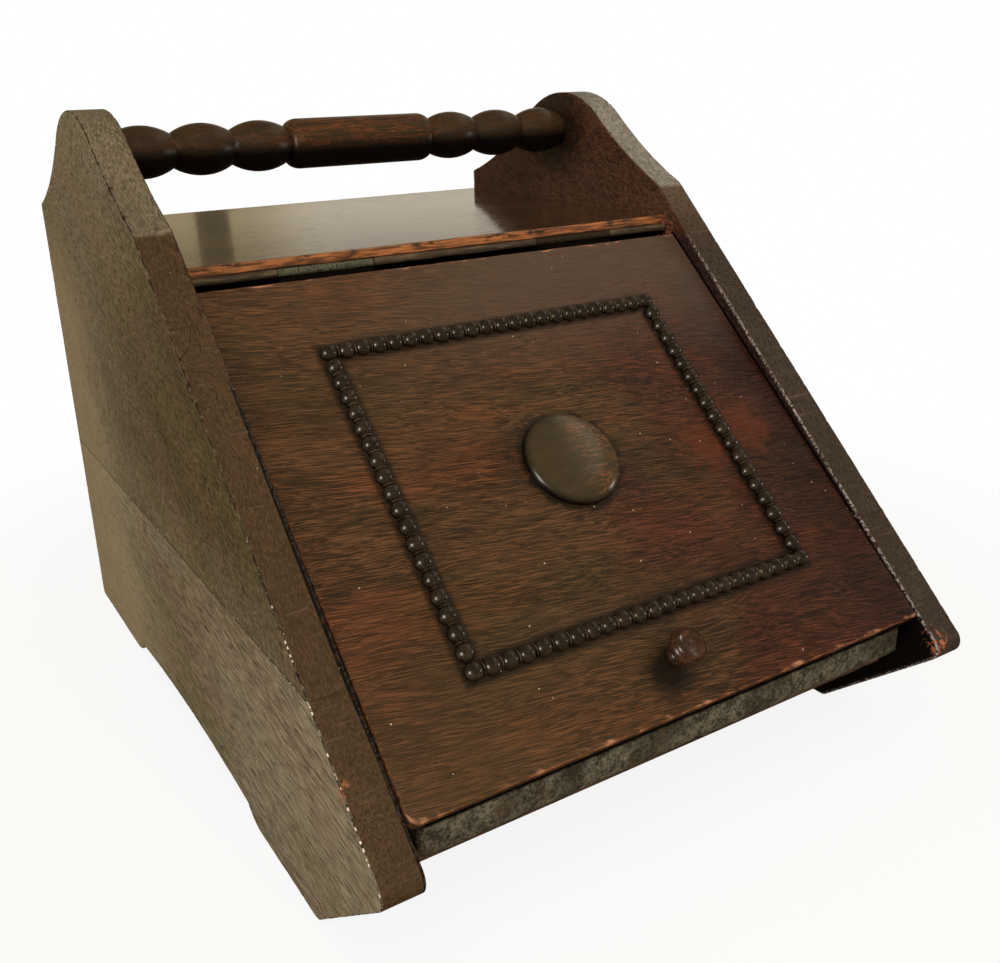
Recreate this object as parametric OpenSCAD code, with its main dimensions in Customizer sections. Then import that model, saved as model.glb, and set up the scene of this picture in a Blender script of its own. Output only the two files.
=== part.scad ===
// Coal scuttle in stained oak: a slope-fronted box with a hinged lid, a turned carry
// handle between two shaped cheeks and a loose sheet-metal liner.
// Millimetres. The origin lies on the floor under the middle of the box, +Z is up and
// the sloping front faces -Y. Many outlines are drawn in reach and height, where reach
// is the distance forward from the cheeks' back edge.

/* [Cheeks] */
// Width over both cheeks
body_w = 360; // [320:5:400]
// Thickness of each cheek
cheek_t = 20.5; // [18:0.5:24]
// Height of the cheeks' back corner
corner_z = 290; // [280:1:300]
// Reach of the shoulder where the slope starts
shoulder_d = 228; // [222:1:236]
// Height of the shoulder above the back corner
shoulder_rise = 5.5; // [2:0.5:9]
// Reach of the toe, before its point is rounded
toe_d = 476; // [464:0.5:486]
// Height of the toe
toe_z = 64.5; // [58:0.5:70]
// Reach of the heel where the toe cut meets the floor
heel_d = 400; // [385:1:408]
// Height of the glued joint between a cheek's two boards
joint_z = 124; // [100:1:150]

/* [Ears] */
// Height of an ear's crown above the back corner
crown_rise = 61.5; // [54:0.5:70]
// Reach of the crown
crown_d = 122; // [112:1:130]
// Radius of the crown
crown_r = 64; // [58:1:68]

/* [Feet] */
// Reach of the rear foot's front end
rear_foot_d = 96; // [70:1:110]
// Reach of the front foot's back end
front_foot_d = 328; // [310:1:345]
// Height of the arch between the feet at its ends
arch_z = 8; // [5:0.5:11]
// Further rise of the arch at its middle
arch_rise = 5; // [2:0.5:8]

/* [Top board] */
// Drop from the back corner to the top board
board_drop = 13.8; // [10:0.1:18]
// Thickness of the top board
board_t = 9.5; // [8.5:0.1:11]
// Distance of the board's front edge forward of the shoulder
board_lead = 6.8; // [5:0.1:9]

/* [Lid] */
// Length of the lid down the slope
lid_len = 280; // [272:1:286]
// Thickness of the lid
lid_t = 10; // [9:0.1:11]
// Gap between the lid and each cheek
lid_gap = 0.9; // [0.5:0.1:2]
// Gap between the hinge axis and the lid's upper end
lid_set = 10.1; // [9:0.1:11.5]
// Height of the lid's face above the hinge axis
lid_rise = 5.1; // [4.4:0.1:5.6]
// Radius of the lid's lower corners
lid_corner_r = 4; // [2:0.5:7]

/* [Hinges] */
// Length of each hinge
hinge_len = 56; // [50:1:64]
// Distance of each hinge's middle from the cheeks, with the pair in the middle
hinge_in = 76.2; // [70:0.1:84]
// Distance that the pair of hinges sits to the right of the lid's middle
hinge_shift = 2.5; // [0:0.1:5]
// Diameter of the knuckles and of the bead in line with them
knuckle_dia = 4.2; // [3.8:0.1:4.4]
// Diameter of the hinge pins
pin_dia = 2; // [1.6:0.1:2.2]
// Thickness of the leaves
leaf_t = 1.2; // [0.9:0.1:1.3]
// Distance of the hinge axis forward of the top board's edge
axis_lead = 1; // [0.6:0.1:1.2]

/* [Beaded moulding] */
// Diameter of each bead
bead_dia = 9; // [8:0.1:9.4]
// Gap between neighbouring beads
bead_gap = 0.45; // [0.2:0.05:0.8]
// Number of beads in the strips that run across
beads_across = 23; // [19:1:25]
// Number of beads in the strips that run down the lid
beads_down = 18; // [14:1:20]
// Thickness of the fillet under the beads
bead_base_t = 0.8; // [0.6:0.1:1.6]
// Width of the fillet on each side of the beads
bead_edge = 0.2; // [0.1:0.1:0.6]
// Distance of the upper strip's middle below the lid's upper end
moulding_top = 49; // [40:1:60]

/* [Boss and knob] */
// Diameter of the round boss
boss_dia = 55; // [48:1:60]
// Height of the boss
boss_h = 8; // [6:0.5:10]
// Diameter of the knob's face
knob_dia = 20; // [17:0.5:24]
// Height of the knob
knob_h = 16; // [14:0.5:20]
// Distance of the knob above the lid's lower end
knob_up = 26.5; // [20:0.5:32]

/* [Carry handle] */
// Diameter of the handle over its beads
handle_dia = 30.4; // [26:0.2:34]
// Diameter of the handle in its grooves
groove_dia = 20; // [17:0.5:23]
// Length of each turned bead
handle_bead_len = 36.4; // [34:0.2:38]
// Drop of the handle's axis below the crown
handle_drop = 25; // [22:0.5:28]
// Diameter of the spigots that sit in the ears
spigot_dia = 16; // [12:0.5:18]
// Depth of the spigots
spigot_len = 12; // [8:0.5:14]

/* [Floor and back] */
// Drop from the lid's lower end to the floor board
lip_h = 19.7; // [17:0.1:24]
// Thickness of the floor board
floor_t = 12; // [9:0.5:14]
// Thickness of the back boards
back_t = 9.5; // [8:0.5:12]
// Distance of the back boards' lower edge below the floor board
back_lap = 12.5; // [8:0.5:22]
// Thickness of the front rail
rail_t = 16; // [12:0.5:20]
// Height of the front rail's lower edge
rail_foot_z = 8; // [6:0.5:12]
// Distance of the front rail behind the floor board's front edge
rail_in = 54; // [45:1:62]
// Width of the stops under the lid
stop_w = 6; // [5:0.5:8]

/* [Liner] */
// Thickness of the sheet metal
sheet_t = 1; // [0.6:0.1:1.2]
// Height of the liner's back
liner_h = 185; // [150:1:195]
// Outside radius of the bends along the liner's bottom
liner_bend_r = 10; // [6:0.5:14]
// Outside radius of the liner's upright corners
liner_corner_r = 4; // [3:0.5:12]

/* [Hidden] */
$fn = 64;
arc_steps = 8;
crown_steps = 20;
fit_gap = 0.05;
running_gap = 0.05;
rest_gap = 0.3;
knuckle_gap = 0.3;
swing_gap = 0.4;
toe_r = 8;
heel_r = 6;
back_foot_r = 4;
corner_r = 2;
shoulder_r = 3;
crown_back_angle = 42;
crown_front_angle = 41;
ear_back_sag = 4.8;
ear_front_sag = 2.4;
foot_step = 18;
foot_sag = 2;

// Reach and height of the cheek's main points
shoulder_z = corner_z + shoulder_rise;
crown_z = corner_z + crown_rise;
crown_centre = [crown_d, crown_z - crown_r];
toe = [toe_d, toe_z];
heel = [heel_d, 0];
shoulder = [shoulder_d, shoulder_z];
back_corner = [0, corner_z];
slope_angle = atan2(shoulder_z - toe_z, toe_d - shoulder_d);

// Points between p and q on a circular arc that bulges by sag to the left of the line p-q
function bow(p, q, sag, steps = arc_steps) =
    let (chord = norm(q - p), along = (q - p) / chord, side = [-along[1], along[0]])
    let (r = (chord * chord / 4 + sag * sag) / (2 * sag), half = asin(chord / 2 / r))
    let (centre = (p + q) / 2 - side * (r - sag))
    [for (i = [1:steps - 1]) let (a = half * (1 - 2 * i / steps))
        centre + r * (side * cos(a) - along * sin(a))];

// Points that round the corner b between a and c
function rounded(a, b, c, r, steps = arc_steps) =
    let (u = (a - b) / norm(a - b), v = (c - b) / norm(c - b), half = acos(u * v) / 2)
    let (centre = b + (u + v) / norm(u + v) * r / sin(half), reach = r / tan(half))
    let (from = (b + u * reach - centre) / r, to = (b + v * reach - centre) / r)
    let (turn = acos(from * to))
    [for (i = [0:steps]) let (s = i / steps)
        centre + r * (from * sin(turn * (1 - s)) + to * sin(turn * s)) / sin(turn)];

function on_crown(angle) = crown_centre + crown_r * [sin(angle), cos(angle)];
function last(list) = list[len(list) - 1];

rear_foot = [rear_foot_d, 0];
front_foot = [front_foot_d, 0];
arch_back = [rear_foot_d + foot_step, arch_z];
arch_front = [front_foot_d - foot_step, arch_z];
crown_arc = [for (i = [0:crown_steps]) on_crown(crown_front_angle
    - (crown_front_angle + crown_back_angle) * i / crown_steps)];
shoulder_arc = rounded(toe, shoulder, crown_arc[0], shoulder_r, 3);
corner_arc = rounded(last(crown_arc), back_corner, [0, 0], corner_r, 3);

cheek_outline = concat(
    rounded(back_corner, [0, 0], rear_foot, back_foot_r),
    [rear_foot], bow(rear_foot, arch_back, -foot_sag),
    [arch_back], bow(arch_back, arch_front, arch_rise),
    [arch_front], bow(arch_front, front_foot, -foot_sag),
    [front_foot], rounded(front_foot, heel, toe, heel_r),
    rounded(heel, toe, shoulder, toe_r),
    shoulder_arc, bow(last(shoulder_arc), crown_arc[0], ear_front_sag),
    crown_arc, bow(last(crown_arc), corner_arc[0], ear_back_sag),
    corner_arc
);

// The box's middle lies half way between its back edge and its foremost point
depth = max([for (p = cheek_outline) p[0]]);
function at(reach) = depth / 2 - reach;
function placed(points) = [for (p = points) [at(p[0]), p[1]]];

// Top board, hinge axis and lid
inner_w = body_w - 2 * cheek_t;
board_z = corner_z - board_drop;
board_d = shoulder_d + board_lead;
knuckle_r = knuckle_dia / 2;
axis_d = board_d + axis_lead;
axis_z = board_z - board_t + knuckle_r;
axis_depth = (shoulder_z - axis_z) * cos(slope_angle) - (axis_d - shoulder_d) * sin(slope_angle);
lid_end = lid_set + lid_len;
lid_angle = slope_angle - asin(axis_depth / norm([lid_end, lid_rise])) + atan(lid_rise / lid_end);
lid_w = inner_w - 2 * lid_gap;
lid_foot_d = axis_d + lid_end * cos(lid_angle) + (lid_rise - lid_t) * sin(lid_angle);
lid_foot_z = axis_z - lid_end * sin(lid_angle) + (lid_rise - lid_t) * cos(lid_angle);

// Hinges
knuckles = 5;
knuckle_pitch = hinge_len / knuckles;
hinge_x = inner_w / 2 - hinge_in;
board_leaf_w = 16;
lid_leaf_lap = 14;
lid_leaf_w = lid_set + lid_leaf_lap;
leaf_screws = 3;
leaf_screw_r = 1.2;
leaf_head_r = 2.2;
leaf_head_h = 1;
screw_skin = 2.2;
board_screw_len = board_t - screw_skin;
lid_screw_len = lid_rise + knuckle_r - screw_skin;

// Moulding, boss and knob
bead_pitch = bead_dia + bead_gap;
moulding_w = bead_dia + 2 * bead_edge;
moulding_len = beads_across * bead_pitch;
moulding_h = beads_down * bead_pitch + moulding_w;
boss_y = -(lid_set + moulding_top + moulding_h / 2);
boss_edge_h = boss_h * 0.3;
knob_y = -(lid_end - knob_up);
knob_foot_r = 5.4;
knob_neck_r = 3.9;
knob_bore_len = 9;
knob_screw_r = 1.75;
knob_screw_head_r = 3.6;
knob_screw_head_h = 2.4;

// Handle
handle_z = crown_z - handle_drop;
handle_back = 4;
handle_d = crown_d - handle_back;
handle_beads = 3;
shoulder_len = 8;

// Floor, rail and back
floor_in = 15;
floor_d = lid_foot_d - floor_in;
floor_z = lid_foot_z - lip_h;
rail_d = floor_d - rail_in;
back_foot_z = floor_z - floor_t - back_lap;

// Cheek screws: reach, height
board_fixing_in = 12;
floor_fixing_in = 32;
rail_fixing_up = 8;
fixings = [
    [board_fixing_in, board_z - board_t / 2],
    [floor_d - floor_fixing_in, floor_z - floor_t / 2],
    [rail_d - rail_t / 2, rail_foot_z + rail_fixing_up]
];
pellet_r = 4;
pellet_h = 4;
cheek_screw_r = 2;
cheek_screw_head_r = 3.8;
cheek_screw_head_h = 2.6;
cheek_screw_len = 32;
nail_r = 1.1;
nail_head_r = 2.2;
nail_head_h = 1;
nail_len = 30;
nails = 5;

// Lid stops and liner
stop_head_gap = 20;
stop_foot_gap = 12;
stop_from = lid_set + stop_head_gap;
stop_to = lid_end - stop_foot_gap;
stop_top = lid_rise - lid_t - rest_gap;
liner_side_gap = 1.5;
liner_back_gap = 8.5;
lip_gap = 1.2;
liner_lid_gap = 4;
liner_w = inner_w - 2 * (stop_w + liner_side_gap);
liner_back_d = back_t + liner_back_gap;
liner_d = lid_foot_d + lip_gap + sheet_t;
liner_top_z = floor_z + liner_h;
liner_slope_d = lid_foot_d - liner_lid_gap / sin(lid_angle);
liner_crest_d = liner_slope_d - (liner_top_z - lid_foot_z) / tan(lid_angle);

oak = "#4a3c2d";
lid_oak = "#4d3023";
black_oak = "#2b211a";
old_brass = "#7f8a68";
old_steel = "#55514c";
galvanised = "#76745f";

// ---- Frames and shared shapes ----

// Stands an outline of reach and height up and gives it a width along X from x
module slab(x, width, outline) {
    translate([x, 0, 0])
        rotate([90, 0, 90])
            linear_extrude(width)
                polygon(placed(outline));
}

// The hinge axis with the lid closed: +Y points up the slope and +Z out of the lid
module lid_frame() {
    translate([0, at(axis_d), axis_z])
        rotate([lid_angle, 0, 0])
            children();
}

// The hinge axis with +Y level towards the back
module board_frame() {
    translate([0, at(axis_d), axis_z])
        children();
}

// The left-hand piece, or its mirror image on the right
module on_side(side) {
    if (side < 0) children();
    else mirror([1, 0, 0]) children();
}

// A board between the cheeks, given by its reach and height
module cross_board(from_d, to_d, from_z, to_z) {
    translate([-inner_w / 2, at(to_d), from_z])
        cube([inner_w, to_d - from_d, to_z - from_z]);
}

// A countersunk screw along +Z with its head at the origin. Clearance makes its hole
module wood_screw(length, shank_r, head_r, head_h, clearance = 0) {
    tip = shank_r * 2;
    slot = clearance > 0 ? 0 : head_h / 3;
    difference() {
        union() {
            cylinder(r1 = head_r + clearance, r2 = shank_r + clearance, h = head_h);
            cylinder(r = shank_r + clearance, h = length - tip);
            translate([0, 0, length - tip])
                cylinder(r1 = shank_r + clearance, r2 = 0.2 + clearance, h = tip + clearance);
        }
        if (slot > 0)
            translate([-head_r, -head_h / 6, -slot])
                cube([2 * head_r, head_h / 3, 2 * slot]);
    }
}

// ---- Cheeks ----

module cheek_fixing_places() {
    for (side = [-1, 1], f = fixings)
        translate([side * body_w / 2, at(f[0]), f[1]])
            rotate([0, -side * 90, 0])
                children();
}

module cheek_screw_shapes(clearance = 0) {
    cheek_fixing_places()
        translate([0, 0, pellet_h])
            wood_screw(cheek_screw_len, cheek_screw_r, cheek_screw_head_r,
                cheek_screw_head_h, clearance);
}

module cheek_solid(side) {
    difference() {
        on_side(side) slab(-body_w / 2, cheek_t, cheek_outline);
        translate([side * (inner_w / 2 + spigot_len + fit_gap), at(handle_d), handle_z])
            rotate([0, -side * 90, 0])
                cylinder(d = spigot_dia + 2 * fit_gap, h = spigot_len + 1);
        cheek_screw_shapes(fit_gap);
        cheek_fixing_places()
            translate([0, 0, -1])
                cylinder(r = pellet_r + fit_gap, h = pellet_h + 1);
    }
}

module cheek_upper_board(side) {
    color(oak)
        intersection() {
            cheek_solid(side);
            translate([-body_w, -depth, joint_z])
                cube([2 * body_w, 2 * depth, crown_z]);
        }
}

module cheek_lower_board(side) {
    color(oak)
        intersection() {
            cheek_solid(side);
            translate([-body_w, -depth, joint_z - crown_z])
                cube([2 * body_w, 2 * depth, crown_z]);
        }
}

module cheek_screws() {
    color(old_steel) cheek_screw_shapes();
}

module cheek_pellets() {
    color(oak)
        cheek_fixing_places()
            cylinder(r = pellet_r, h = pellet_h);
}

// ---- Boards between the cheeks ----

module at_hinge(side) {
    translate([hinge_shift + side * hinge_x, 0, 0])
        children();
}

module hinge_places() {
    for (side = [-1, 1])
        at_hinge(side)
            children();
}

module leaf_screw_row(y) {
    for (i = [0:leaf_screws - 1])
        translate([(i - (leaf_screws - 1) / 2) * hinge_len / leaf_screws, y, -knuckle_r])
            children();
}

module board_screw_places() {
    board_frame()
        hinge_places()
            leaf_screw_row((axis_lead + board_leaf_w) / 2)
                children();
}

module lid_screw_places() {
    lid_frame()
        hinge_places()
            leaf_screw_row(-(lid_set + lid_leaf_w) / 2)
                children();
}

module top_board() {
    color(oak)
        difference() {
            cross_board(0, board_d, board_z - board_t, board_z);
            board_frame() {
                rotate([0, 90, 0])
                    cylinder(r = knuckle_r + fit_gap, h = inner_w + 2, center = true);
                hinge_places() {
                    rotate([0, 90, 0])
                        cylinder(r = knuckle_r + swing_gap, h = hinge_len + 2 * swing_gap,
                            center = true);
                    translate([-hinge_len / 2 - swing_gap, 0, -knuckle_r - 1])
                        cube([hinge_len + 2 * swing_gap, board_leaf_w + fit_gap, leaf_t + 1]);
                }
            }
            board_screw_places()
                wood_screw(board_screw_len, leaf_screw_r, leaf_head_r, leaf_head_h, fit_gap);
            cheek_screw_shapes(fit_gap);
        }
}

back_split_z = (back_foot_z + board_z - board_t) / 2;

module back_board_upper() {
    color(oak) cross_board(0, back_t, back_split_z, board_z - board_t);
}

module back_nail_shapes(clearance = 0) {
    for (i = [0:nails - 1])
        translate([(i - (nails - 1) / 2) * inner_w / nails, at(0), floor_z - floor_t / 2])
            rotate([90, 0, 0]) {
                cylinder(r = nail_head_r + clearance, h = nail_head_h);
                cylinder(r = nail_r + clearance, h = nail_len + clearance);
            }
}

module back_board_lower() {
    color(oak)
        difference() {
            cross_board(0, back_t, back_foot_z, back_split_z);
            back_nail_shapes(fit_gap);
        }
}

module back_nails() {
    color(old_steel) back_nail_shapes();
}

module floor_board() {
    color(oak)
        difference() {
            cross_board(back_t, floor_d, floor_z - floor_t, floor_z);
            back_nail_shapes(fit_gap);
            cheek_screw_shapes(fit_gap);
        }
}

module front_rail() {
    color(oak)
        difference() {
            cross_board(rail_d - rail_t, rail_d, rail_foot_z, floor_z - floor_t);
            cheek_screw_shapes(fit_gap);
        }
}

module lid_stop(side) {
    color(oak)
        on_side(side)
            lid_frame()
                translate([-inner_w / 2, -stop_to, stop_top - stop_w])
                    cube([stop_w, stop_to - stop_from, stop_w]);
}

// ---- Lid ----

lid_plan = concat(
    [[lid_w / 2, -lid_set], [-lid_w / 2, -lid_set]],
    rounded([-lid_w / 2, 0], [-lid_w / 2, -lid_end], [0, -lid_end], lid_corner_r),
    rounded([0, -lid_end], [lid_w / 2, -lid_end], [lid_w / 2, 0], lid_corner_r)
);

module knob_screw_shape(clearance = 0) {
    lid_frame()
        translate([0, knob_y, lid_rise - lid_t])
            wood_screw(lid_t + knob_bore_len, knob_screw_r, knob_screw_head_r,
                knob_screw_head_h, clearance);
}

module lid() {
    color(lid_oak)
        difference() {
            lid_frame()
                difference() {
                    translate([0, 0, lid_rise - lid_t])
                        linear_extrude(lid_t)
                            polygon(lid_plan);
                    hinge_places()
                        translate([-hinge_len / 2 - fit_gap, -lid_leaf_w - fit_gap,
                            lid_rise - lid_t - 1])
                            cube([hinge_len + 2 * fit_gap, lid_leaf_w,
                                lid_t + 1 - lid_rise - knuckle_r + leaf_t]);
                }
            lid_screw_places()
                wood_screw(lid_screw_len, leaf_screw_r, leaf_head_r, leaf_head_h, fit_gap);
            knob_screw_shape(fit_gap);
        }
}

// A strip of half-round beads along X on a thin fillet, with its middle at the origin
module beading(count) {
    length = count * bead_pitch;
    color(black_oak) {
        intersection() {
            for (i = [0:count - 1])
                translate([(i - (count - 1) / 2) * bead_pitch, 0, bead_base_t])
                    sphere(d = bead_dia);
            translate([-length / 2, -moulding_w / 2, bead_base_t])
                cube([length, moulding_w, bead_dia]);
        }
        translate([-length / 2, -moulding_w / 2, 0])
            cube([length, moulding_w, bead_base_t]);
    }
}

// A strip across the lid, a given distance below the lid's upper end
module beading_across(below) {
    lid_frame()
        translate([0, -(lid_set + below), lid_rise])
            beading(beads_across);
}

module beading_down(side) {
    lid_frame()
        translate([side * (moulding_len - moulding_w) / 2, boss_y, lid_rise])
            rotate([0, 0, 90])
                beading(beads_down);
}

module lid_boss() {
    dome = [for (i = [0:arc_steps]) let (a = 90 * i / arc_steps)
        [boss_dia / 2 * (1 - 0.3 * (1 - cos(a))), boss_edge_h + boss_h * 0.4 * sin(a)]];
    crown = [for (i = [1:arc_steps]) let (s = i / arc_steps)
        [boss_dia * 0.35 * (1 - s), boss_h * (0.7 + 0.3 * sin(90 * s))]];
    color(black_oak)
        lid_frame()
            translate([0, boss_y, lid_rise])
                rotate_extrude()
                    polygon(concat([[0, 0], [boss_dia / 2, 0]], dome, crown));
}

// Half of the knob's section: round collar, neck, round rim, ring groove and dished face
module lid_knob() {
    face_r = knob_dia / 2;
    foot = [knob_foot_r, 0];
    collar = [knob_foot_r - 0.6, knob_h * 0.32];
    neck = [knob_neck_r, knob_h * 0.4];
    under = [face_r * 0.82, knob_h * 0.58];
    rim = [face_r * 0.88, knob_h * 0.9];
    groove = [face_r * 0.8, knob_h * 0.88];
    inner_rim = [face_r * 0.66, knob_h];
    dish = [face_r * 0.16, knob_h * 0.94];
    section = concat(
        [[0, 0], foot], bow(foot, collar, -0.9),
        [collar, neck], bow(neck, under, 0.8),
        [under], bow(under, rim, -face_r * 0.12),
        [rim, groove], bow(groove, inner_rim, -0.2),
        [inner_rim], bow(inner_rim, dish, 0.3),
        [dish, [0, knob_h * 0.96]]);
    color(black_oak)
        difference() {
            lid_frame()
                translate([0, knob_y, lid_rise])
                    rotate_extrude()
                        polygon(section);
            knob_screw_shape(fit_gap);
        }
}

module knob_screw() {
    color(old_steel) knob_screw_shape();
}

// ---- Hinges ----

module knuckle_row(first) {
    for (i = [first:2:knuckles - 1])
        translate([-hinge_len / 2 + i * knuckle_pitch + knuckle_gap / 2, 0, 0])
            children();
}

// One leaf: its knuckles, the tabs that join them and the plate, on the +Y side
module leaf(first, width) {
    tab_w = knuckle_pitch - knuckle_gap;
    plate_from = knuckle_r + swing_gap;
    difference() {
        union() {
            knuckle_row(first) {
                rotate([0, 90, 0]) cylinder(r = knuckle_r, h = tab_w);
                translate([0, 0, -knuckle_r]) cube([tab_w, plate_from + 1, leaf_t]);
            }
            translate([-hinge_len / 2, plate_from, -knuckle_r])
                cube([hinge_len, width - plate_from, leaf_t]);
        }
        rotate([0, 90, 0])
            cylinder(d = pin_dia + 2 * running_gap, h = hinge_len + 2, center = true);
    }
}

module board_leaf(side) {
    color(old_brass)
        difference() {
            board_frame()
                at_hinge(side)
                    leaf(0, board_leaf_w);
            board_screw_places()
                wood_screw(board_screw_len, leaf_screw_r, leaf_head_r, leaf_head_h, fit_gap);
        }
}

module lid_leaf(side) {
    color(old_brass)
        difference() {
            lid_frame()
                at_hinge(side)
                    mirror([0, 1, 0])
                        leaf(1, lid_leaf_w);
            lid_screw_places()
                wood_screw(lid_screw_len, leaf_screw_r, leaf_head_r, leaf_head_h, fit_gap);
        }
}

module hinge_pin(side) {
    color(old_brass)
        board_frame()
            at_hinge(side)
                rotate([0, 90, 0])
                    cylinder(d = pin_dia, h = hinge_len - knuckle_gap, center = true);
}

module board_hinge_screws() {
    color(old_brass)
        board_screw_places()
            wood_screw(board_screw_len, leaf_screw_r, leaf_head_r, leaf_head_h);
}

module lid_hinge_screws() {
    color(old_brass)
        lid_screw_places()
            wood_screw(lid_screw_len, leaf_screw_r, leaf_head_r, leaf_head_h);
}

// A stretch of wooden bead in line with the knuckles
module hinge_bead(from_x, to_x) {
    color(oak)
        board_frame()
            translate([from_x, 0, 0])
                rotate([0, 90, 0])
                    cylinder(r = knuckle_r, h = to_x - from_x);
}

// Distances along the board of the two hinges' ends, from the left
hinge_ends = [for (side = [-1, 1], end = [-1, 1])
    hinge_shift + side * hinge_x + end * (hinge_len / 2 + swing_gap)];

// ---- Handle ----

// Half of the handle as distance along it and radius: a plain middle with rounded ends,
// the turned beads and a spigot
groove_r = groove_dia / 2;
grip_r = handle_dia / 2;
middle_half = inner_w / 2 - handle_beads * handle_bead_len;
half_handle = concat(
    [for (i = [0:arc_steps]) let (a = 90 * i / arc_steps)
        [middle_half - shoulder_len * (1 - sin(a)), groove_r + (grip_r - groove_r) * cos(a)]],
    [for (k = [0:handle_beads - 1]) let (start = [middle_half + k * handle_bead_len, groove_r])
        each concat(bow(start, start + [handle_bead_len, 0], grip_r - groove_r),
            [start + [handle_bead_len, 0]])],
    [[inner_w / 2, spigot_dia / 2], [inner_w / 2 + spigot_len, spigot_dia / 2],
     [inner_w / 2 + spigot_len, 0]]
);

module carry_handle() {
    right_half = [for (p = half_handle) [p[1], p[0]]];
    left_half = [for (i = [1:len(half_handle)])
        let (p = half_handle[len(half_handle) - i]) [p[1], -p[0]]];
    color(black_oak)
        translate([0, at(handle_d), handle_z])
            rotate([0, 90, 0])
                rotate_extrude()
                    polygon(concat(left_half, right_half));
}

// ---- Liner ----

// The liner's side view: bent bottom edges under a given top line
module liner_side(inset, top) {
    back = liner_back_d + inset;
    front = liner_d - inset;
    bottom = floor_z + inset;
    bend = liner_bend_r - inset;
    slab(-liner_w / 2, liner_w, concat(
        rounded([back, liner_top_z], [back, bottom], [front, bottom], bend),
        rounded([back, bottom], [front, bottom], [front, lid_foot_z], bend),
        top));
}

// The liner's front view, bent along both sides and open at the top
module liner_front(inset) {
    x = liner_w / 2 - inset;
    bottom = floor_z + inset;
    top = liner_top_z + 2;
    bend = liner_bend_r - inset;
    rotate([90, 0, 0])
        linear_extrude(depth, center = true)
            polygon(concat(
                rounded([-x, top], [-x, bottom], [x, bottom], bend),
                rounded([-x, bottom], [x, bottom], [x, top], bend),
                [[x, top], [-x, top]]));
}

// The liner's plan with its upright corners
module liner_plan(inset) {
    x = liner_w / 2 - inset;
    back = at(liner_back_d + inset);
    front = at(liner_d - inset);
    bend = liner_corner_r - inset;
    linear_extrude(liner_top_z + 2)
        polygon(concat(
            rounded([-x, front], [-x, back], [x, back], bend),
            rounded([-x, back], [x, back], [x, front], bend),
            rounded([x, back], [x, front], [-x, front], bend),
            rounded([x, front], [-x, front], [-x, back], bend)));
}

module liner() {
    color(galvanised)
        difference() {
            intersection() {
                liner_side(0, [
                    [liner_d, lid_foot_z], [liner_slope_d, lid_foot_z],
                    [liner_crest_d, liner_top_z], [liner_back_d, liner_top_z]]);
                liner_front(0);
                liner_plan(0);
            }
            intersection() {
                liner_side(sheet_t, [
                    [liner_d - sheet_t, liner_top_z + 1],
                    [liner_back_d + sheet_t, liner_top_z + 1]]);
                liner_front(sheet_t);
                liner_plan(sheet_t);
            }
        }
}

// ---- Nodes ----

cheek_upper_board(-1);  // left_cheek_upper_board
cheek_lower_board(-1);  // left_cheek_lower_board
cheek_upper_board(1);  // right_cheek_upper_board
cheek_lower_board(1);  // right_cheek_lower_board
top_board();
back_board_upper();
back_board_lower();
floor_board();
front_rail();
lid_stop(-1);  // left_lid_stop
lid_stop(1);  // right_lid_stop
lid();
beading_across(moulding_top);  // beading_top
beading_across(moulding_top + moulding_h);  // beading_bottom
beading_down(-1);  // beading_left
beading_down(1);  // beading_right
lid_boss();
lid_knob();
knob_screw();
carry_handle();
hinge_bead(-inner_w / 2, hinge_ends[0]);  // hinge_bead_left
hinge_bead(hinge_ends[1], hinge_ends[2]);  // hinge_bead_centre
hinge_bead(hinge_ends[3], inner_w / 2);  // hinge_bead_right
board_leaf(-1);  // left_hinge_board_leaf
lid_leaf(-1);  // left_hinge_lid_leaf
hinge_pin(-1);  // left_hinge_pin
board_leaf(1);  // right_hinge_board_leaf
lid_leaf(1);  // right_hinge_lid_leaf
hinge_pin(1);  // right_hinge_pin
board_hinge_screws();
lid_hinge_screws();
cheek_screws();
cheek_pellets();
back_nails();
liner();
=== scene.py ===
"""Coal scuttle in stained oak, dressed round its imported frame.

Shapes are worked out in millimetres and put into meshes in metres. Reach is the distance
forward from the cheeks' back edge, as in the part's source.
"""

import bmesh
import bpy
import numpy as np
from mathutils import Matrix


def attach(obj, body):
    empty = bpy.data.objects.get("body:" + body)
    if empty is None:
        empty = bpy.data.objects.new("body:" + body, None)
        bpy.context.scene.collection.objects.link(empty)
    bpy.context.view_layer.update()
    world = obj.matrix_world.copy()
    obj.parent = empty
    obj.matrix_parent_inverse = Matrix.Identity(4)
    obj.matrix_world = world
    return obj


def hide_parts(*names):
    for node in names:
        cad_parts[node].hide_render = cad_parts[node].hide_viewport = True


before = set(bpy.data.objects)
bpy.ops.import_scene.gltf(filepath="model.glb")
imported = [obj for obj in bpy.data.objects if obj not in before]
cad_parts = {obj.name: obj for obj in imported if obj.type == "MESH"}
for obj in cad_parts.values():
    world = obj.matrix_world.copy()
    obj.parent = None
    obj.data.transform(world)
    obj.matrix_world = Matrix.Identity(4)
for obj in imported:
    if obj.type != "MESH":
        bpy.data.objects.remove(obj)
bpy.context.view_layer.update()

MM = 0.001

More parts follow.
